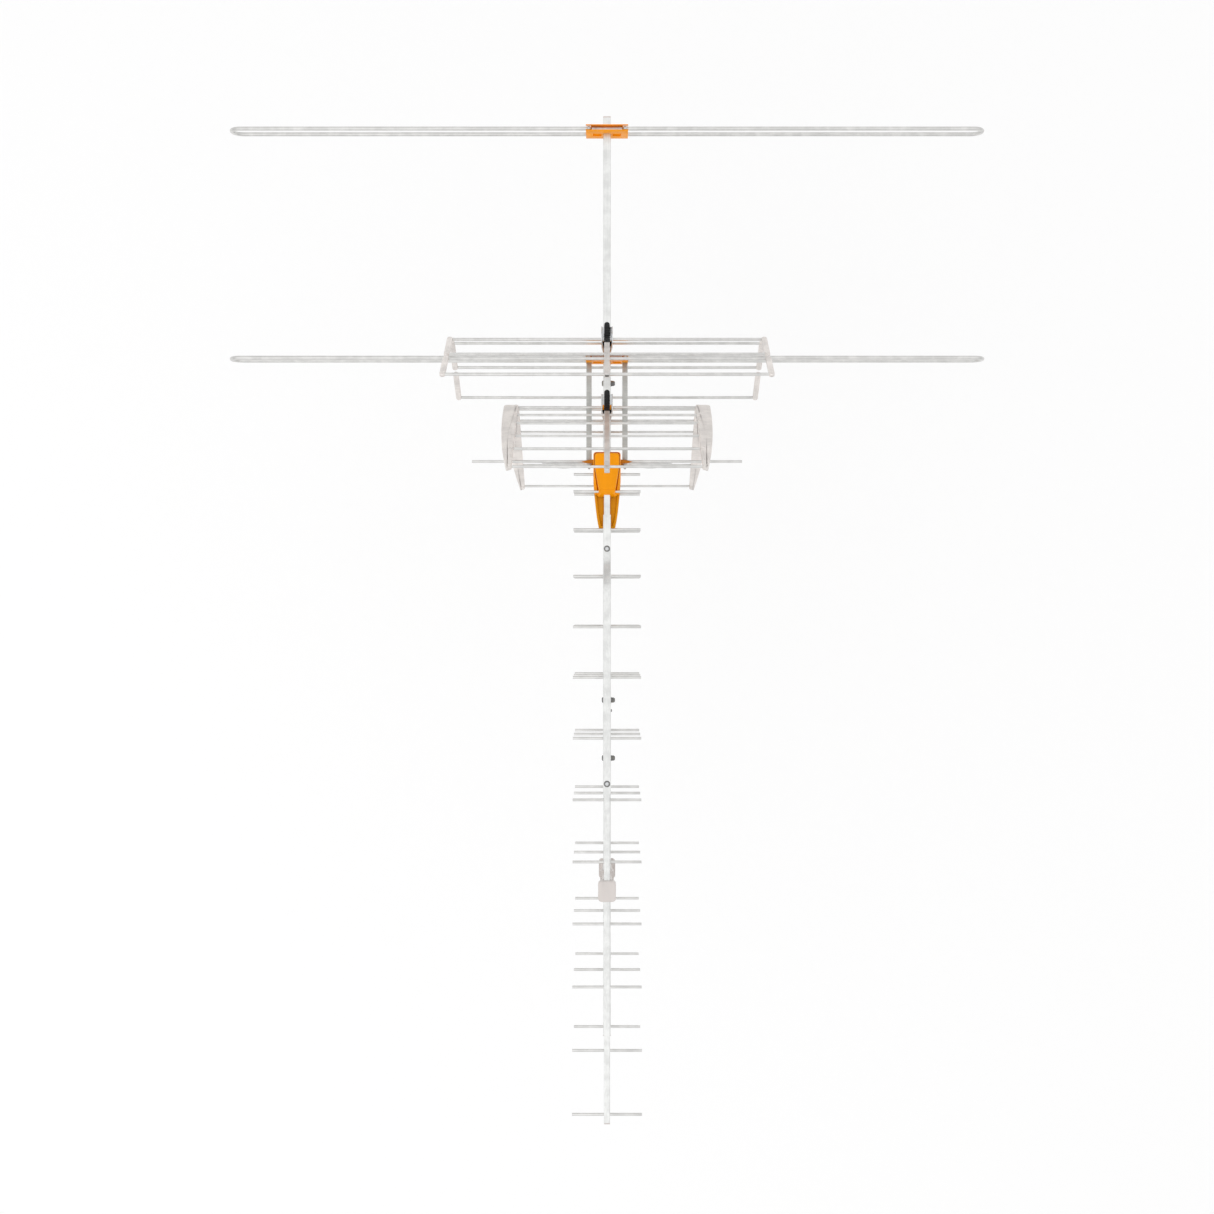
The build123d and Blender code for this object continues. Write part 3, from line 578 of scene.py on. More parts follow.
def crowned(outline, low, high, edge, crown, origin, u, v, w):
    """A plate whose two faces bulge: past the rounded edge each face rises towards its middle."""
    rings = plate(outline, low, high, edge)
    reach = [(3.0, 0.75), (1.4, 0.4)]

    def ridge(d, height):
        return np.column_stack([inset(outline, edge + d * MM), np.full(len(outline), height)])

    outer = [ridge(d, high + crown * k) for d, k in reversed(reach)]
    inner = [ridge(d, low - crown * k) for d, k in reach]
    return shell(placed(np.concatenate([inner, rings, outer]), origin, u, v, w))


def dome_head(radius, height, origin, axis, recess=0.45):
    """A domed screw head with a driver recess, from its seat along the axis."""
    turn = np.linspace(0, np.pi / 2, 7)[:-1]
    dome = [(height * np.sin(t), radius * np.cos(t) ** 0.6) for t in turn]
    top = height * 0.98
    profile = [(0, radius * 0.98), *dome, (top, radius * recess),
               (top - 0.5 * height, radius * recess * 0.8)]
    return turned(profile, origin, axis, 24)


def hexagon(radius, low, high, origin, u, v, w):
    """A hexagonal nut or head with its corners chamfered."""
    turn = np.arange(6) * np.pi / 3
    corners = np.stack([radius * np.cos(turn), radius * np.sin(turn)], -1)
    outline = rounded(corners, 0.12 * radius, 3)
    return solid_plate(outline, low, high, 0.10 * radius, origin, u, v, w)


def threaded(radius, pitch, start, end, origin, axis):
    """A threaded shank: its radius goes up and down once a pitch."""
    steps = int((end - start) / pitch * 4)
    along = np.linspace(start, end, steps + 1)
    wave = radius - 0.09 * pitch * (1 - np.cos(2 * np.pi * along / pitch)) * 2
    return turned(np.column_stack([along, wave]), origin, axis, 20)


def hairpin(box, radius, side, segments):
    """A round profile carried along a hairpin: out above the boom, round a half circle, and back
    below it. The radius closes to a dome at the two ends."""
    low, high = box
    pivot_x = min(abs(low[0]), abs(high[0])) + radius
    far = max(abs(low[0]), abs(high[0]))
    height = (high[2] - low[2]) / 2 - radius
    middle_y, middle_z = (low[1] + high[1]) / 2, (low[2] + high[2]) / 2
    bend_x = far - radius - height
    dome = np.linspace(-1, 0, 6)
    straight = np.concatenate([pivot_x + radius * dome, np.linspace(pivot_x + 0.01, bend_x, 12)])
    bend = np.linspace(np.pi / 2, -np.pi / 2, 26)[1:-1]
    x = np.concatenate([straight, bend_x + height * np.cos(bend), straight[::-1]])
    z = np.concatenate([np.full(len(straight), height), height * np.sin(bend),
                        np.full(len(straight), -height)])
    size = np.full(len(x), radius)
    closing = radius * np.sqrt(np.clip(1 - dome ** 2, 0.02, 1))
    size[:6], size[-6:] = closing, closing[::-1]
    upright = np.full(len(straight), np.pi / 2)
    tilt = np.concatenate([upright, bend, -upright])
    around = circle(1.0, segments)
    out = np.stack([np.cos(tilt), np.zeros(len(tilt)), np.sin(tilt)], -1)
    centre = np.stack([x, np.full(len(x), middle_y), middle_z + z], -1)
    rings = (centre[:, None] + size[:, None, None]
             * (around[None, :, :1] * out[:, None] + around[None, :, 1:] * Y_AXIS))
    rings[..., 0] *= side
    return shell(rings)


def softened(name, node, finish, width):
    """A merged copy of a CAD node whose sharp edges are rounded."""
    mesh = frame["nodes"][node].data.copy()
    mesh.name = name
    work = bmesh.new()
    work.from_mesh(mesh)
    bmesh.ops.remove_doubles(work, verts=work.verts, dist=0.004 * MM)
    bmesh.ops.dissolve_limit(work, angle_limit=math.radians(1.0), verts=work.verts,
                             edges=work.edges, delimit={"NORMAL"})
    work.to_mesh(mesh)
    work.free()
    mesh.polygons.foreach_set("use_smooth", np.ones(len(mesh.polygons), bool))
    mesh.materials.clear()
    mesh.materials.append(finishes[finish])
    made = stands_for(name, mesh, node)
    bevel = made.modifiers.new("edges", "BEVEL")
    bevel.width = width * MM
    bevel.segments = 2
    bevel.limit_method = "ANGLE"
    bevel.angle_limit = SOFTENED_EDGE
    bevel.harden_normals = True


class Panel:
    """One reflector panel's own axes: from its first rod, the hinge pin, to its last."""

    def __init__(self, size, place):
        self.size, self.place = size, place
        boxes = islands(f"{size}_{place}_rods")
        order = np.argsort(np.abs(boxes.mean(1)[:, 2] - boom_centre()[2]))
        self.rods = boxes[order]
        centres = self.rods.mean(1)
        self.pivot = centres[0] * [0, 1, 1]
        run = centres[-1] - centres[0]
        self.along = run / np.linalg.norm(run)
        self.out = np.cross(X_AXIS, self.along)
        self.stations = (centres - centres[0]) @ self.along
        self.radius = (self.rods[0][1] - self.rods[0][0])[2] / 2

    @property
    def flat(self):
        """Origin and axes for an outline drawn on the panel's face."""
        return self.pivot, X_AXIS, self.along, self.out

    @property
    def lengthwise(self):
        """Origin and axes for an outline carried along the panel."""
        return self.pivot, X_AXIS, self.out, self.along


def boom_centre():
    return box_of("main_boom_centre").mean(0)


def panels():
    return [Panel(size, place) for size in ("wide", "narrow") for place in ("upper", "lower")]


# ================================================================ operators
class AntennaOperator:
    bl_options = {"REGISTER", "UNDO"}

    @property
    def rods(self):
        return bpy.context.scene.antenna_rods

    @property
    def mouldings(self):
        return bpy.context.scene.antenna_mouldings


class ANTENNA_OT_finishes(AntennaOperator, bpy.types.Operator):
    """Makes every finish and gives the booms and inner pieces theirs"""
    bl_idname = "antenna.finishes"
    bl_label = "Finishes"

    def execute(self, context):
        finishes.update(make_finishes(context.scene.antenna_finishes))
        slots = {
            "aluminium": "tube_y", "taupe_metal": "taupe", "zinc_steel": "zinc",
            "zinc_fastener": "zinc", "blade_metal": "blade", "grey_metal": "feeder",
            "nickel": "nickel", "orange_plastic": "orange", "dark_orange": "deep_orange",
            "black_plastic": "black", "grey_plastic": "spacer", "rubber_seal": "seal",
            "board_green": "board",
        }
        for sub in frame["record"]["subparts"]:
            dress(sub["node"], slots[sub["material_slot"]])
        return {"FINISHED"}


class ANTENNA_OT_directors(AntennaOperator, bpy.types.Operator):
    """Makes the directors and the dipole's arms as open tubes"""
    bl_idname = "antenna.directors"
    bl_label = "Directors"

    def execute(self, context):
        for node in ("directors_upper", "directors_main", "directors_lower", "dipole_arms"):
            parts = [open_tube(middle, half[0], half[2], self.rods)
                     for *_, middle, half in solids(node)]
            piece(f"{node}_tubes", parts, "tube_x", node)
        return {"FINISHED"}


class ANTENNA_OT_loops(AntennaOperator, bpy.types.Operator):
    """Makes the hairpin loops"""
    bl_idname = "antenna.loops"
    bl_label = "Loops"

    def execute(self, context):
        for place in ("rear", "front"):
            for hand, side in (("right", 1), ("left", -1)):
                node = f"vhf_loop_{place}_{hand}"
                box = box_of(node)
                radius = (box[1][1] - box[0][1]) / 2
                tube = hairpin(box, radius, side, self.rods.segments)
                piece(f"{node}_tube", [tube], "tube_x", node)
        return {"FINISHED"}


class ANTENNA_OT_loop_brackets(AntennaOperator, bpy.types.Operator):
    """Makes the loops' moulded brackets, the strips in their grooves and their screws"""
    bl_idname = "antenna.loop_brackets"
    bl_label = "Loop brackets"

    def execute(self, context):
        for place in ("rear", "front"):
            softened(f"loop_bracket_{place}", f"vhf_bracket_{place}", "orange", 0.7)
        strips = []
        for *_, middle, half in solids("vhf_bridge_strips"):
            up = 1 if middle[2] > boom_centre()[2] else -1
            outline = slab(half[0], half[1] * 0.94, 2.2 * MM)
            strips.append(solid_plate(outline, -half[2], half[2] * 0.55, 0.4 * MM, middle,
                                      X_AXIS, Y_AXIS, Z_AXIS * up))
            for x in (-0.72, -0.24, 0.24, 0.72):
                pip = middle + X_AXIS * half[0] * x + Z_AXIS * up * half[2] * 0.5
                strips.append(turned(mm((0, 2.4), (0.5, 2.2), (0.9, 1.2)),
                                     pip, Z_AXIS * up, 20))
        piece("loop_bridge_strips", strips, "blade", "vhf_bridge_strips")

        screws = []
        for *_, middle, half in solids("vhf_screws"):
            head, top = half[0], middle + Z_AXIS * half[2]
            long = half[2] > 15 * MM
            seat = 2.4 * MM if long else 1.6 * MM
            screws.append(dome_head(head, seat, top - Z_AXIS * seat, Z_AXIS))
            shank = [(0.2 * MM - 2 * half[2], head * 0.5), (-seat, head * 0.5)]
            screws.append(turned(shank, top, Z_AXIS, 20))
            if long:
                screws.append(hexagon(head, -half[2], -half[2] + seat, middle,
                                      X_AXIS, Y_AXIS, Z_AXIS))
        piece("loop_screws", screws, "zinc", "vhf_screws")
        return {"FINISHED"}


class ANTENNA_OT_feeder_bars(AntennaOperator, bpy.types.Operator):
    """Makes the two flat bars from the front loop's bracket to the dipole box"""
    bl_idname = "antenna.feeder_bars"
    bl_label = "Feeder bars"

    def execute(self, context):
        bars = []
        for low, high, middle, (half, *_) in solids("feeder_bars"):
            y0, y1, neck = low[1], high[1], 2.4 * MM
            shoulder = y0 + 9 * MM
            corners = both_sides([(neck, y0), (neck, shoulder),
                                  (half, shoulder + 1.5 * MM), (half, y1)])
            radii = np.array([0.9 * neck, 0.6 * MM, 1.2 * MM, 0.8 * MM])
            outline = rounded(corners, np.concatenate([radii, radii[::-1]]))
            bars.append(solid_plate(outline, low[2], high[2], 0.35 * MM, (middle[0], 0, 0),
                                    X_AXIS, Y_AXIS, Z_AXIS))
        piece("feeder_flats", bars, "feeder", "feeder_bars")
        return {"FINISHED"}


class ANTENNA_OT_reflectors(AntennaOperator, bpy.types.Operator):
    """Makes the four reflector panels: rods, spine, and end strips or side plates"""
    bl_idname = "antenna.reflectors"
    bl_label = "Reflectors"

    def execute(self, context):
        for panel in panels():
            name = f"{panel.size}_{panel.place}"
            tubes = [open_tube(b.mean(0), (b[1] - b[0])[0] / 2, panel.radius, self.rods)
                     for b in panel.rods]
            piece(f"{name}_tubes", tubes, "tube_x", f"{name}_rods")
            make = self.strips if panel.size == "wide" else self.wings
            parts = [*make(panel), *self.spine(panel)]
            piece(f"{name}_ribs", parts, "taupe", f"{name}_frame")
            piece(f"{name}_hub", self.hub(panel), "black", f"{name}_knuckle")
        return {"FINISHED"}

    def strips(self, panel):
        """Crowned strips that hold two rods' ends each, with a boss over each end."""
        half = (panel.rods[0][1] - panel.rods[0][0])[0] / 2 - 3.5 * MM
        parts = []
        for first, last in ((0, 1), (2, 3)):
            start, stop = panel.stations[[first, last]]
            for side in (-1, 1):
                outline = slab(5.5 * MM, (stop - start) / 2 + 4.8 * MM, 5.2 * MM, 10)
                outline = outline + [side * half, (start + stop) / 2]
                parts.append(crowned(outline, -3.4 * MM, 3.4 * MM, self.mouldings.edge,
                                     self.mouldings.strip_crown, *panel.flat))
                for station in (start, stop):
                    seat = panel.pivot + X_AXIS * side * half + panel.along * station
                    for face in (-1, 1):
                        parts.append(turned(
                            mm((3.6, 4.4), (4.2, 4.0), (4.4, 3.2),
                             (4.1, 2.4)), seat, panel.out * face, 24))
        return parts

    def wings(self, panel):
        """Curved side plates that hold all the rods' ends."""
        outer = [(205.0, -6.0), (206.0, 60.0), (203.0, 140.0), (196.5, 215.0), (186.5, 284.0)]
        corners = np.array([(176.6, -6.0), *outer, (176.6, 278.0)]) * MM
        radii = np.array([2.0, 8.0, 30.0, 34.0, 34.0, 4.0, 3.0]) * MM
        outline = rounded(corners, radii, 8)
        parts = []
        for side in (-1, 1):
            parts.append(crowned(outline * [side, 1], -3.3 * MM, 3.3 * MM, self.mouldings.edge,
                                 self.mouldings.strip_crown, *panel.flat))
            for station in panel.stations:
                for face in (-1, 1):
                    boss = panel.pivot + X_AXIS * side * 181.5 * MM + panel.along * station
                    parts.append(turned(
                        mm((3.6, 3.8), (4.4, 3.5), (4.6, 2.6),
                         (4.3, 1.9)), boss, panel.out * face, 20))
        return parts

    def spine(self, panel):
        """The square tube down the panel's middle, and on a narrow panel its bare bright tip."""
        last = panel.stations[-1]
        outline, root = slab(5.3 * MM, 4.5 * MM, 1.1 * MM), 27 * MM
        # The spine tubes take the spine finish, the taupe sheet darkened: painted shade
        if panel.size == "wide":
            tube = hollow_bar(outline, 1.4 * MM, root, last + 6 * MM, 12 * MM, *panel.lengthwise)
            return [(*tube, "spine")]
        tip = solid_plate(outline * 0.94, last + 0.6 * MM, last + 19 * MM, 1.4 * MM,
                          *panel.lengthwise)
        tube = solid_plate(outline, root, last + 0.8 * MM, 0.3 * MM, *panel.lengthwise)
        return [(*tube, "spine"), (*tip, "tube_x")]

    def hub(self, panel):
        """The moulded knuckle: a ribbed barrel on the pin and an arm that plugs into the spine."""
        wave = np.linspace(-1, 1, 41)
        ribs = 6.0 * MM + 0.4 * MM * np.clip(np.cos(wave * np.pi * 4) * 2, -1, 1)
        barrel = np.column_stack([wave * 5.3 * MM, ribs])
        barrel = np.concatenate([mm((-5.5, 5.2)), barrel, mm((5.5, 5.2))])
        arm = slab(5.0 * MM, 4.3 * MM, 1.3 * MM)
        levels = [(0.0, 1.0), (9.0, 1.0), (10.0, 0.9), (14.0, 0.9), (15.0, 1.0), (22.0, 1.0),
                  (22.6, 1.1), (27.2, 1.1), (27.4, 0.7), (46.0, 0.66)]
        rings = [np.column_stack([arm * size, np.full(len(arm), height * MM)])
                 for height, size in levels]
        return [turned(barrel, panel.pivot, X_AXIS, 36), shell(placed(rings, *panel.lengthwise))]


class ANTENNA_OT_hinges(AntennaOperator, bpy.types.Operator):
    """Makes the hinge channels on the boom, their moulded saddles and bushes"""
    bl_idname = "antenna.hinges"
    bl_label = "Hinges"

    def execute(self, context):
        softened("hinge_channels", "hinge_brackets", "zinc", 0.5)
        softened("hinge_seats", "hinge_saddles", "black", 0.4)
        parts, wide_hinge_from = [], 0.25
        for *_, middle, half in solids("hinge_bushes"):
            deep, wide = half[0], middle[1] > wide_hinge_from
            bore = 3.06 * MM if wide else 2.56 * MM
            collar = ring([(-deep, bore), (-deep, half[2] - 0.4 * MM), (-deep + 0.4 * MM, half[2]),
                           (deep - 0.4 * MM, half[2]), (deep, half[2] - 0.4 * MM), (deep, bore)],
                          middle, X_AXIS)
            parts.append((*collar, "zinc" if wide else "orange"))
        piece("hinge_collars", parts, "orange", "hinge_bushes")
        return {"FINISHED"}


class ANTENNA_OT_dipole_box(AntennaOperator, bpy.types.Operator):
    """Makes the dipole box: its hull and its two stepped covers"""
    bl_idname = "antenna.dipole_box"
    bl_label = "Dipole box"

    def execute(self, context):
        self.middle = boom_centre()
        self.back = box_of("dipole_hull")[1][1]
        # The hull takes the darker hull finish: painted shade on the orange moulding
        piece("dipole_hull_shell", self.hull(), "hull", "dipole_hull")
        upper = self.cover()
        lower = [mirrored(part, 2, self.middle[2]) for part in upper]
        piece("upper_cover_shell", upper, "orange", "upper_cover")
        piece("lower_cover_shell", lower, "orange", "lower_cover")
        return {"FINISHED"}

    def rings(self, levels):
        """Rings from (right side, corner radii, height) levels: x across, y back from the box's
        rear wall, height above the boom."""
        made = []
        for right, radii, height in levels:
            corners = both_sides(right) * MM
            outline = rounded(corners, np.concatenate([radii, radii[::-1]]) * MM, 8)
            made.append(np.column_stack([outline, np.full(len(outline), height * MM)]))
        return placed(made, (0, self.back, self.middle[2]), X_AXIS, Y_AXIS, Z_AXIS)

    def hull(self):
        """The hull's plan narrows in a curve to the nose. Its side has a parting groove, and its
        top and bottom a raised rim round a lower floor. Each level draws the corners in and makes
        their radii as much smaller."""
        right = np.array([(16.0, -151.0), (20.0, -131.0), (22.6, -110.0), (25.6, -80.0),
                          (27.0, -57.0), (27.0, 0.0)])
        radii = np.array([3.0, 9.0, 12.0, 12.0, 12.0, 6.5])
        half = [(0.0, 0.9), (0.0, 30.4), (0.5, 31.5), (1.5, 32.0), (3.8, 32.0), (4.4, 31.7),
                (5.2, 28.8), (6.2, 28.0)]
        levels = [(d, -h) for d, h in reversed(half)] + [(0.45, -0.5), (0.45, 0.5)] + half
        drawn = []
        for d, height in levels:
            corners = right - [d, 0]
            corners[0, 1] += d
            corners[-1, 1] -= d
            drawn.append((corners, np.maximum(radii - d, 0.8), height))
        parts = [shell(self.rings(drawn))]
        for side in (-1, 1):
            ear = slab(6.5 * MM, 7.0 * MM, 2.5 * MM) + np.array([side * 30.5, -21.0]) * MM
            parts.append(solid_plate(ear, -14 * MM, -10 * MM, 0.8 * MM,
                                     (0, self.back, self.middle[2]), X_AXIS, Y_AXIS, Z_AXIS))
        return parts

    def cover(self):
        """A skirt on the hull, a rim that slopes up to a narrow groove, and a roof inside it.
        A flared apron closes the front over the boom's root."""
        radii = np.array([1.6, 12.0, 6.5])
        body = [
            ([(25.2, -85.0), (27.0, -59.0), (27.0, 0.0)], radii, 33.0),
            ([(25.2, -85.0), (27.0, -59.0), (27.0, 0.0)], radii, 34.6),
            ([(24.8, -84.6), (26.6, -59.0), (26.7, -0.3)], radii, 35.6),
            ([(19.4, -82.0), (25.5, -36.0), (25.9, -1.0)], radii, 40.8),
            ([(18.8, -81.4), (25.0, -35.6), (25.5, -1.4)], radii, 40.9),
            ([(17.8, -80.4), (24.6, -35.2), (25.1, -2.0)], radii, 34.4),
            ([(16.6, -79.6), (24.1, -34.8), (24.5, -2.8)], radii, 34.4),
            ([(16.0, -76.4), (23.8, -33.0), (24.0, -4.4)], radii, 58.8),
            ([(15.5, -75.8), (23.4, -33.0), (23.6, -5.2)], radii, 60.3),
            ([(14.6, -74.8), (22.6, -33.0), (22.8, -6.4)], radii, 60.9),
            ([(9.8, -70.0), (17.0, -34.0), (17.0, -12.0)], radii, 61.0),
        ]
        fronts = [(20.2, -89.0, 33.0), (20.0, -89.0, 34.6), (17.8, -88.0, 37.0),
                  (16.6, -86.8, 43.0), (16.0, -84.6, 50.0), (15.6, -80.4, 56.5),
                  (15.2, -77.0, 58.4), (12.0, -74.0, 58.9)]
        corner = np.array([6.0, 1.0])
        apron = [([(half, front), (half, -66.0)], corner, height) for half, front, height in fronts]
        return [shell(self.rings(body)), shell(self.rings(apron))]


class ANTENNA_OT_dipole(AntennaOperator, bpy.types.Operator):
    """Makes the dipole's tapered shrouds and leaf-shaped blades"""
    bl_idname = "antenna.dipole"
    bl_label = "Dipole"

    def execute(self, context):
        shrouds, blades = [], []
        for low, high in islands("dipole_shrouds"):
            side = 1 if low[0] > 0 else -1
            root = np.array([side * min(abs(low[0]), abs(high[0])), *((low + high) / 2)[1:]])
            span = high[0] - low[0]
            t = np.linspace(-0.04, 1, 26)[:, None]
            half_y = 4.1 * MM * np.clip(1 - np.clip(t, 0, 1) ** 2.0, 0.02, 1) ** 0.8
            half_z = 4.3 * MM * (1 - 0.2 * np.clip(t, 0, 1) ** 2)
            turn = np.linspace(0, 2 * np.pi, 32, endpoint=False)[None]
            x = root[0] + side * span * t + 0 * turn
            y = root[1] - 0.8 * MM * t + half_y * np.cos(turn)
            z = root[2] + half_z * np.sin(turn)
            shrouds.append(shell(np.stack([x, y, z], -1)))
        for low, high in islands("dipole_blades"):
            side = 1 if low[0] > 0 else -1
            t = np.linspace(0, 1, 40)[:, None]
            x = low[0] + (high[0] - low[0]) * t
            width = (high[1] - low[1]) * (0.24 + 0.76 * np.sin(np.pi * t) ** 1.1)
            turn = np.linspace(0, 2 * np.pi, 24, endpoint=False)[None]
            across = 0.5 - 0.5 * np.sign(np.cos(turn)) * np.abs(np.cos(turn)) ** 0.7
            thick = (high[2] - low[2]) / 2
            y = high[1] - width * across
            dish = -0.5 * MM * np.sin(np.pi * across) * np.sin(np.pi * t)
            z = (low[2] + high[2]) / 2 + thick * 0.8 * np.sin(turn) + dish
            rings = np.stack(np.broadcast_arrays(x, y, z), -1)
            blades.append(shell(rings if side > 0 else rings[::-1]))
        piece("dipole_shroud_mouldings", shrouds, "deep_orange", "dipole_shrouds")
        piece("dipole_leaves", blades, "blade", "dipole_blades")
        return {"FINISHED"}


class ANTENNA_OT_fasteners(AntennaOperator, bpy.types.Operator):
    """Makes the boom screws, the cross bolts and their wing nuts"""
    bl_idname = "antenna.fasteners"
    bl_label = "Fasteners"

    def execute(self, context):
        boom = boom_centre()
        half_boom = (box_of("main_boom_centre")[1] - box_of("main_boom_centre")[0])[0] / 2
        parts = []
        for low, high, middle, half in solids("boom_bolts"):
            if half[0] > 10 * MM:
                parts += self.cross_bolt(high, middle, half_boom)
            elif abs(middle[2] - boom[2]) > 20 * MM:
                parts += self.boom_screw(low, high, middle, boom)
            else:
                side = 1 if middle[0] > 0 else -1
                seat = [side * half_boom, middle[1], middle[2]]
                parts.append((*dome_head(3.2 * MM, 2 * half[0], seat, X_AXIS * side), "bolt"))
        piece("boom_fasteners", parts, "zinc", "boom_bolts")
        for place in ("rear", "middle", "front"):
            node = f"wing_nut_{place}"
            piece(f"{node}_casting", self.wing_nut(box_of(node)), "bolt", node)
        return {"FINISHED"}

    def boom_screw(self, low, high, middle, boom):
        """A flanged screw that stands square to its boom."""
        side = 1 if middle[2] > boom[2] else -1
        lean = 0.0 if middle[1] > -0.15 else math.atan(0.0995)
        up = np.array([0.0, math.sin(lean), side * math.cos(lean)])
        crest = np.array([0.0, middle[1] + 0.5 * (high[2] - low[2]) * math.sin(lean) * 0.9,
                          high[2] if side > 0 else low[2]])
        seat = crest - up * 4.0 * MM
        flange = turned(mm((-9, 2), (-0.1, 2), (0, 6.1), (0.8, 6.25),
                         (1.2, 5.8), (1.4, 4.8)), seat, up, 32)
        side_axis = np.cross(up, X_AXIS)
        head = hexagon(4.9 * MM, 1.0 * MM, 3.2 * MM, seat, X_AXIS, side_axis, up)
        dimple = turned(mm((3.0, 3.6), (3.5, 3.4), (3.8, 2.6),
                         (3.3, 2.0)), seat, up, 24)
        return [(*flange, "bolt"), (*head, "bolt"), dimple]

    def cross_bolt(self, high, middle, half_boom):
        """A domed head on the left, a threaded end and a washer on the right."""
        centre = np.array([0, middle[1], middle[2]])
        head = dome_head(6.0 * MM, 3.0 * MM, centre - X_AXIS * half_boom, -X_AXIS, 0.4)
        shank = threaded(3.0 * MM, 1.0 * MM, -half_boom, high[0], centre, X_AXIS)
        washer = turned([(half_boom, 6.2 * MM), (half_boom + 0.2 * MM, 6.5 * MM),
                         (half_boom + 0.8 * MM, 6.5 * MM), (half_boom + 1.0 * MM, 6.1 * MM)],
                        centre, X_AXIS, 32)
        return [(*head, "bolt"), shank, (*washer, "bolt")]

    def wing_nut(self, box):
        """A conical hub with a hole and two ears that widen outwards."""
        low, high = box
        middle = (low + high) / 2
        seat = np.array([low[0], middle[1], middle[2]])
        bore = 3.06 * MM
        hub = ring([(0, bore), (0, 5.2 * MM), (0.5 * MM, 5.4 * MM), (4.6 * MM, 5.2 * MM),
                    (6.4 * MM, 4.3 * MM), (7.0 * MM, 3.9 * MM), (7.0 * MM, bore)], seat, X_AXIS, 36)
        outline = mm((3.6, 1.4), (7.5, 2.6), (12.2, 2.8), (13.2, 5.2), (11.4, 7.5),
                     (7.6, 6.6), (3.6, 6.2))
        ear = rounded(outline, np.array([0.6, 2, 2, 2, 2, 2, 0.6]) * MM)
        parts = [hub]
        for side in (-1, 1):
            parts.append(crowned(ear, -1.2 * MM, 1.2 * MM, 0.5 * MM, 0.3 * MM, seat,
                                 Z_AXIS * side, X_AXIS, Y_AXIS))
        return parts


class ANTENNA_OT_spacer(AntennaOperator, bpy.types.Operator):
    """Makes the spacer post between the booms and its two caps"""
    bl_idname = "antenna.spacer"
    bl_label = "Spacer"

    def execute(self, context):
        softened("boom_spacer_moulding", "boom_spacer", "spacer", 0.8)
        return {"FINISHED"}


class ANTENNA_OT_mast_mount(AntennaOperator, bpy.types.Operator):
    """Makes the mast bracket, its socket, bolts and thumb screws"""
    bl_idname = "antenna.mast_mount"
    bl_label = "Mast mount"

    def execute(self, context):
        softened("mast_bracket_plates", "mast_bracket", "zinc", 0.5)
        softened("mast_socket_casting", "mast_socket", "zinc", 0.6)
        bolts = []
        for low, high, middle, _ in solids("mast_bracket_bolts"):
            line, nut = middle * [0, 1, 1], 4 * MM
            bolts.append(turned([(low[0] + 1 * MM, 3 * MM), (high[0] - 1 * MM, 3 * MM)],
                                line, X_AXIS, 20))
            for tall, x in ((3 * MM, low[0]), (nut, high[0] - nut)):
                bolts.append(hexagon(5 * MM, 0, tall, line + X_AXIS * x, Y_AXIS, Z_AXIS, X_AXIS))
        piece("mast_bolts_hex", bolts, "zinc", "mast_bracket_bolts")
        for place in ("upper", "lower"):
            node = f"thumb_screw_{place}"
            piece(f"{node}_steel", self.thumb_screw(box_of(node)), "zinc", node)
        return {"FINISHED"}

    def thumb_screw(self, box):
        low, high = box
        middle = (low + high) / 2
        tip = np.array([middle[0], low[1], middle[2]])
        reach = high[1] - low[1]
        shank = threaded(3.0 * MM, 1.0 * MM, 0.0, reach - 9 * MM, tip, Y_AXIS)
        hub = turned([(reach - 12 * MM, 4.0 * MM), (reach - 11.4 * MM, 4.6 * MM),
                      (reach - 5 * MM, 4.6 * MM), (reach - 4.2 * MM, 3.8 * MM)], tip, Y_AXIS, 32)
        blade = slab(10 * MM, 4.4 * MM, 3.4 * MM) + [0, reach - 4.5 * MM]
        return [shank, hub, crowned(blade, -1.2 * MM, 1.2 * MM, 0.5 * MM, 0.3 * MM, tip,
                                    X_AXIS, Y_AXIS, Z_AXIS)]


class ANTENNA_OT_end_caps(AntennaOperator, bpy.types.Operator):
    """Rounds the booms' moulded end caps"""
    bl_idname = "antenna.end_caps"
    bl_label = "End caps"

    def execute(self, context):
        softened("boom_end_plugs", "boom_end_caps", "spacer", 0.5)
        softened("connector_body", "coax_jack", "nickel", 0.25)
        return {"FINISHED"}


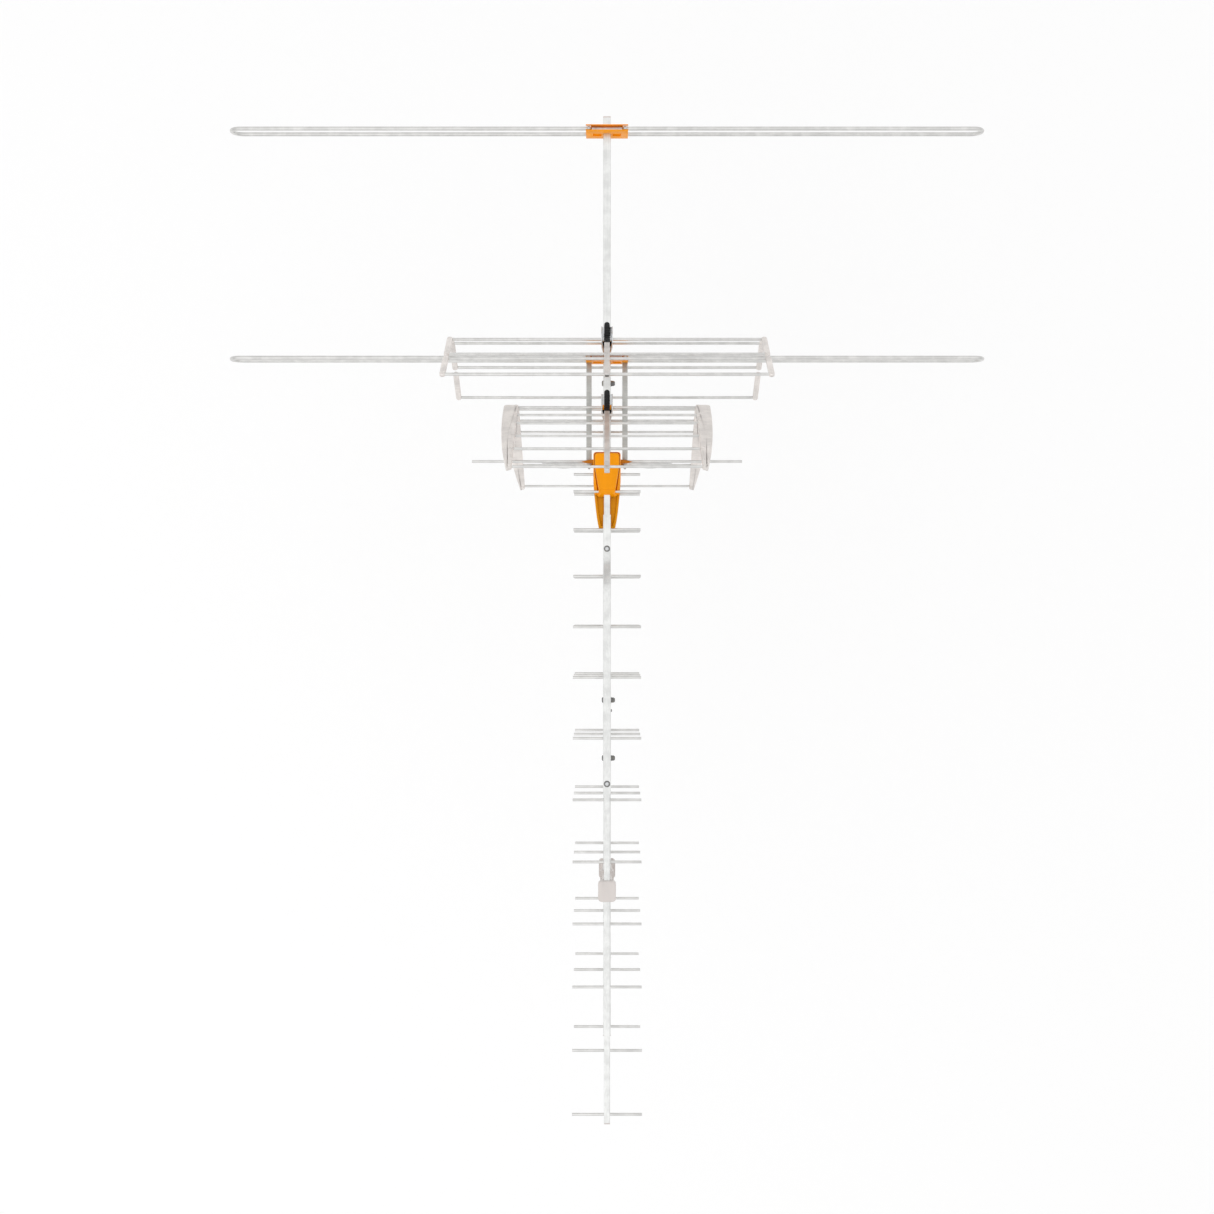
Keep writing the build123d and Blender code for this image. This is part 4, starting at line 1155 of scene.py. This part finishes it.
class ANTENNA_OT_stage(AntennaOperator, bpy.types.Operator):
    """Makes the floor, the lights and the camera"""
    bl_idname = "antenna.stage"
    bl_label = "Stage"

    def execute(self, context):
        settings = context.scene.antenna_stage
        boom = boom_centre()
        view_y = -settings.camera_forward
        floor_z = cad_box[0][2] - settings.floor_drop
        reach = 60.0
        corners = [(-reach, -reach), (reach, -reach), (reach, reach), (-reach, reach)]
        mesh = bpy.data.meshes.new("floor")
        mesh.from_pydata([(x, view_y + y, floor_z) for x, y in corners], [], [(0, 1, 2, 3)])
        finish = Finish("floor", settings.floor_shade, 0.9)
        mesh.materials.append(finish.material)
        floor = bpy.data.objects.new("floor", mesh)
        context.scene.collection.objects.link(floor)

        world = bpy.data.worlds.new("studio")
        world.use_nodes = True
        tree = world.node_tree
        direction = tree.nodes.new("ShaderNodeTexCoord").outputs["Generated"]
        parts = tree.nodes.new("ShaderNodeSeparateXYZ")
        tree.links.new(direction, parts.inputs[0])
        height = Field(tree, parts.outputs["Z"])
        rise, glow = height.step(0.05, 0.75), height.step(0.22, 0.0)
        light = (settings.horizon + rise * (settings.sky - settings.horizon)
                 + glow * settings.glow)
        tree.links.new(light.socket, tree.nodes["Background"].inputs["Strength"])
        tree.nodes["Background"].inputs["Color"].default_value = (1, 1, 1, 1)
        context.scene.world = world
        context.scene.view_settings.view_transform = "Standard"

        key = bpy.data.lights.new("key", "AREA")
        key.shape = "RECTANGLE"
        key.size, key.size_y = 3.0, 2.2
        key.energy = settings.key_power
        lamp = bpy.data.objects.new("key", key)
        lamp.location = (-1.6, view_y - 1.2, boom[2] + 2.6)
        lamp.rotation_euler = (math.radians(25), math.radians(-31), 0)
        context.scene.collection.objects.link(lamp)

        data = bpy.data.cameras.new("camera")
        data.lens = settings.lens
        data.sensor_width = 36.0
        data.clip_end = 200.0
        camera = bpy.data.objects.new("camera", data)
        camera.location = (0, view_y, boom[2] + settings.camera_height)
        context.scene.collection.objects.link(camera)
        context.scene.camera = camera
        return {"FINISHED"}


operators = [
    ANTENNA_OT_finishes, ANTENNA_OT_directors, ANTENNA_OT_loops, ANTENNA_OT_loop_brackets,
    ANTENNA_OT_feeder_bars, ANTENNA_OT_reflectors, ANTENNA_OT_hinges, ANTENNA_OT_dipole_box,
    ANTENNA_OT_dipole, ANTENNA_OT_fasteners, ANTENNA_OT_spacer, ANTENNA_OT_mast_mount,
    ANTENNA_OT_end_caps, ANTENNA_OT_stage,
]


class ANTENNA_PT_panel(bpy.types.Panel):
    """Lists the antenna's groups of pieces"""
    bl_idname = "ANTENNA_PT_panel"
    bl_label = "Antenna"
    bl_space_type = "VIEW_3D"
    bl_region_type = "UI"
    bl_category = "Antenna"

    def draw(self, context):
        for operator in operators:
            self.layout.operator(operator.bl_idname)
        for name in settings_groups:
            group = getattr(context.scene, name)
            for prop in group.bl_rna.properties:
                if prop.identifier not in ("rna_type", "name"):
                    self.layout.prop(group, prop.identifier)


settings_groups = {
    "antenna_finishes": FinishSettings,
    "antenna_rods": RodSettings,
    "antenna_mouldings": MouldingSettings,
    "antenna_stage": StageSettings,
}


def register():
    for group in (*settings_groups.values(), *operators, ANTENNA_PT_panel):
        bpy.utils.register_class(group)
    for name, group in settings_groups.items():
        setattr(bpy.types.Scene, name, PointerProperty(type=group))


def unregister():
    for name in settings_groups:
        delattr(bpy.types.Scene, name)
    for group in (ANTENNA_PT_panel, *reversed(operators), *settings_groups.values()):
        bpy.utils.unregister_class(group)


def main():
    register()
    for operator in operators:
        family, call = operator.bl_idname.split(".")
        getattr(getattr(bpy.ops, family), call)()


if __name__ == "__main__":
    main()
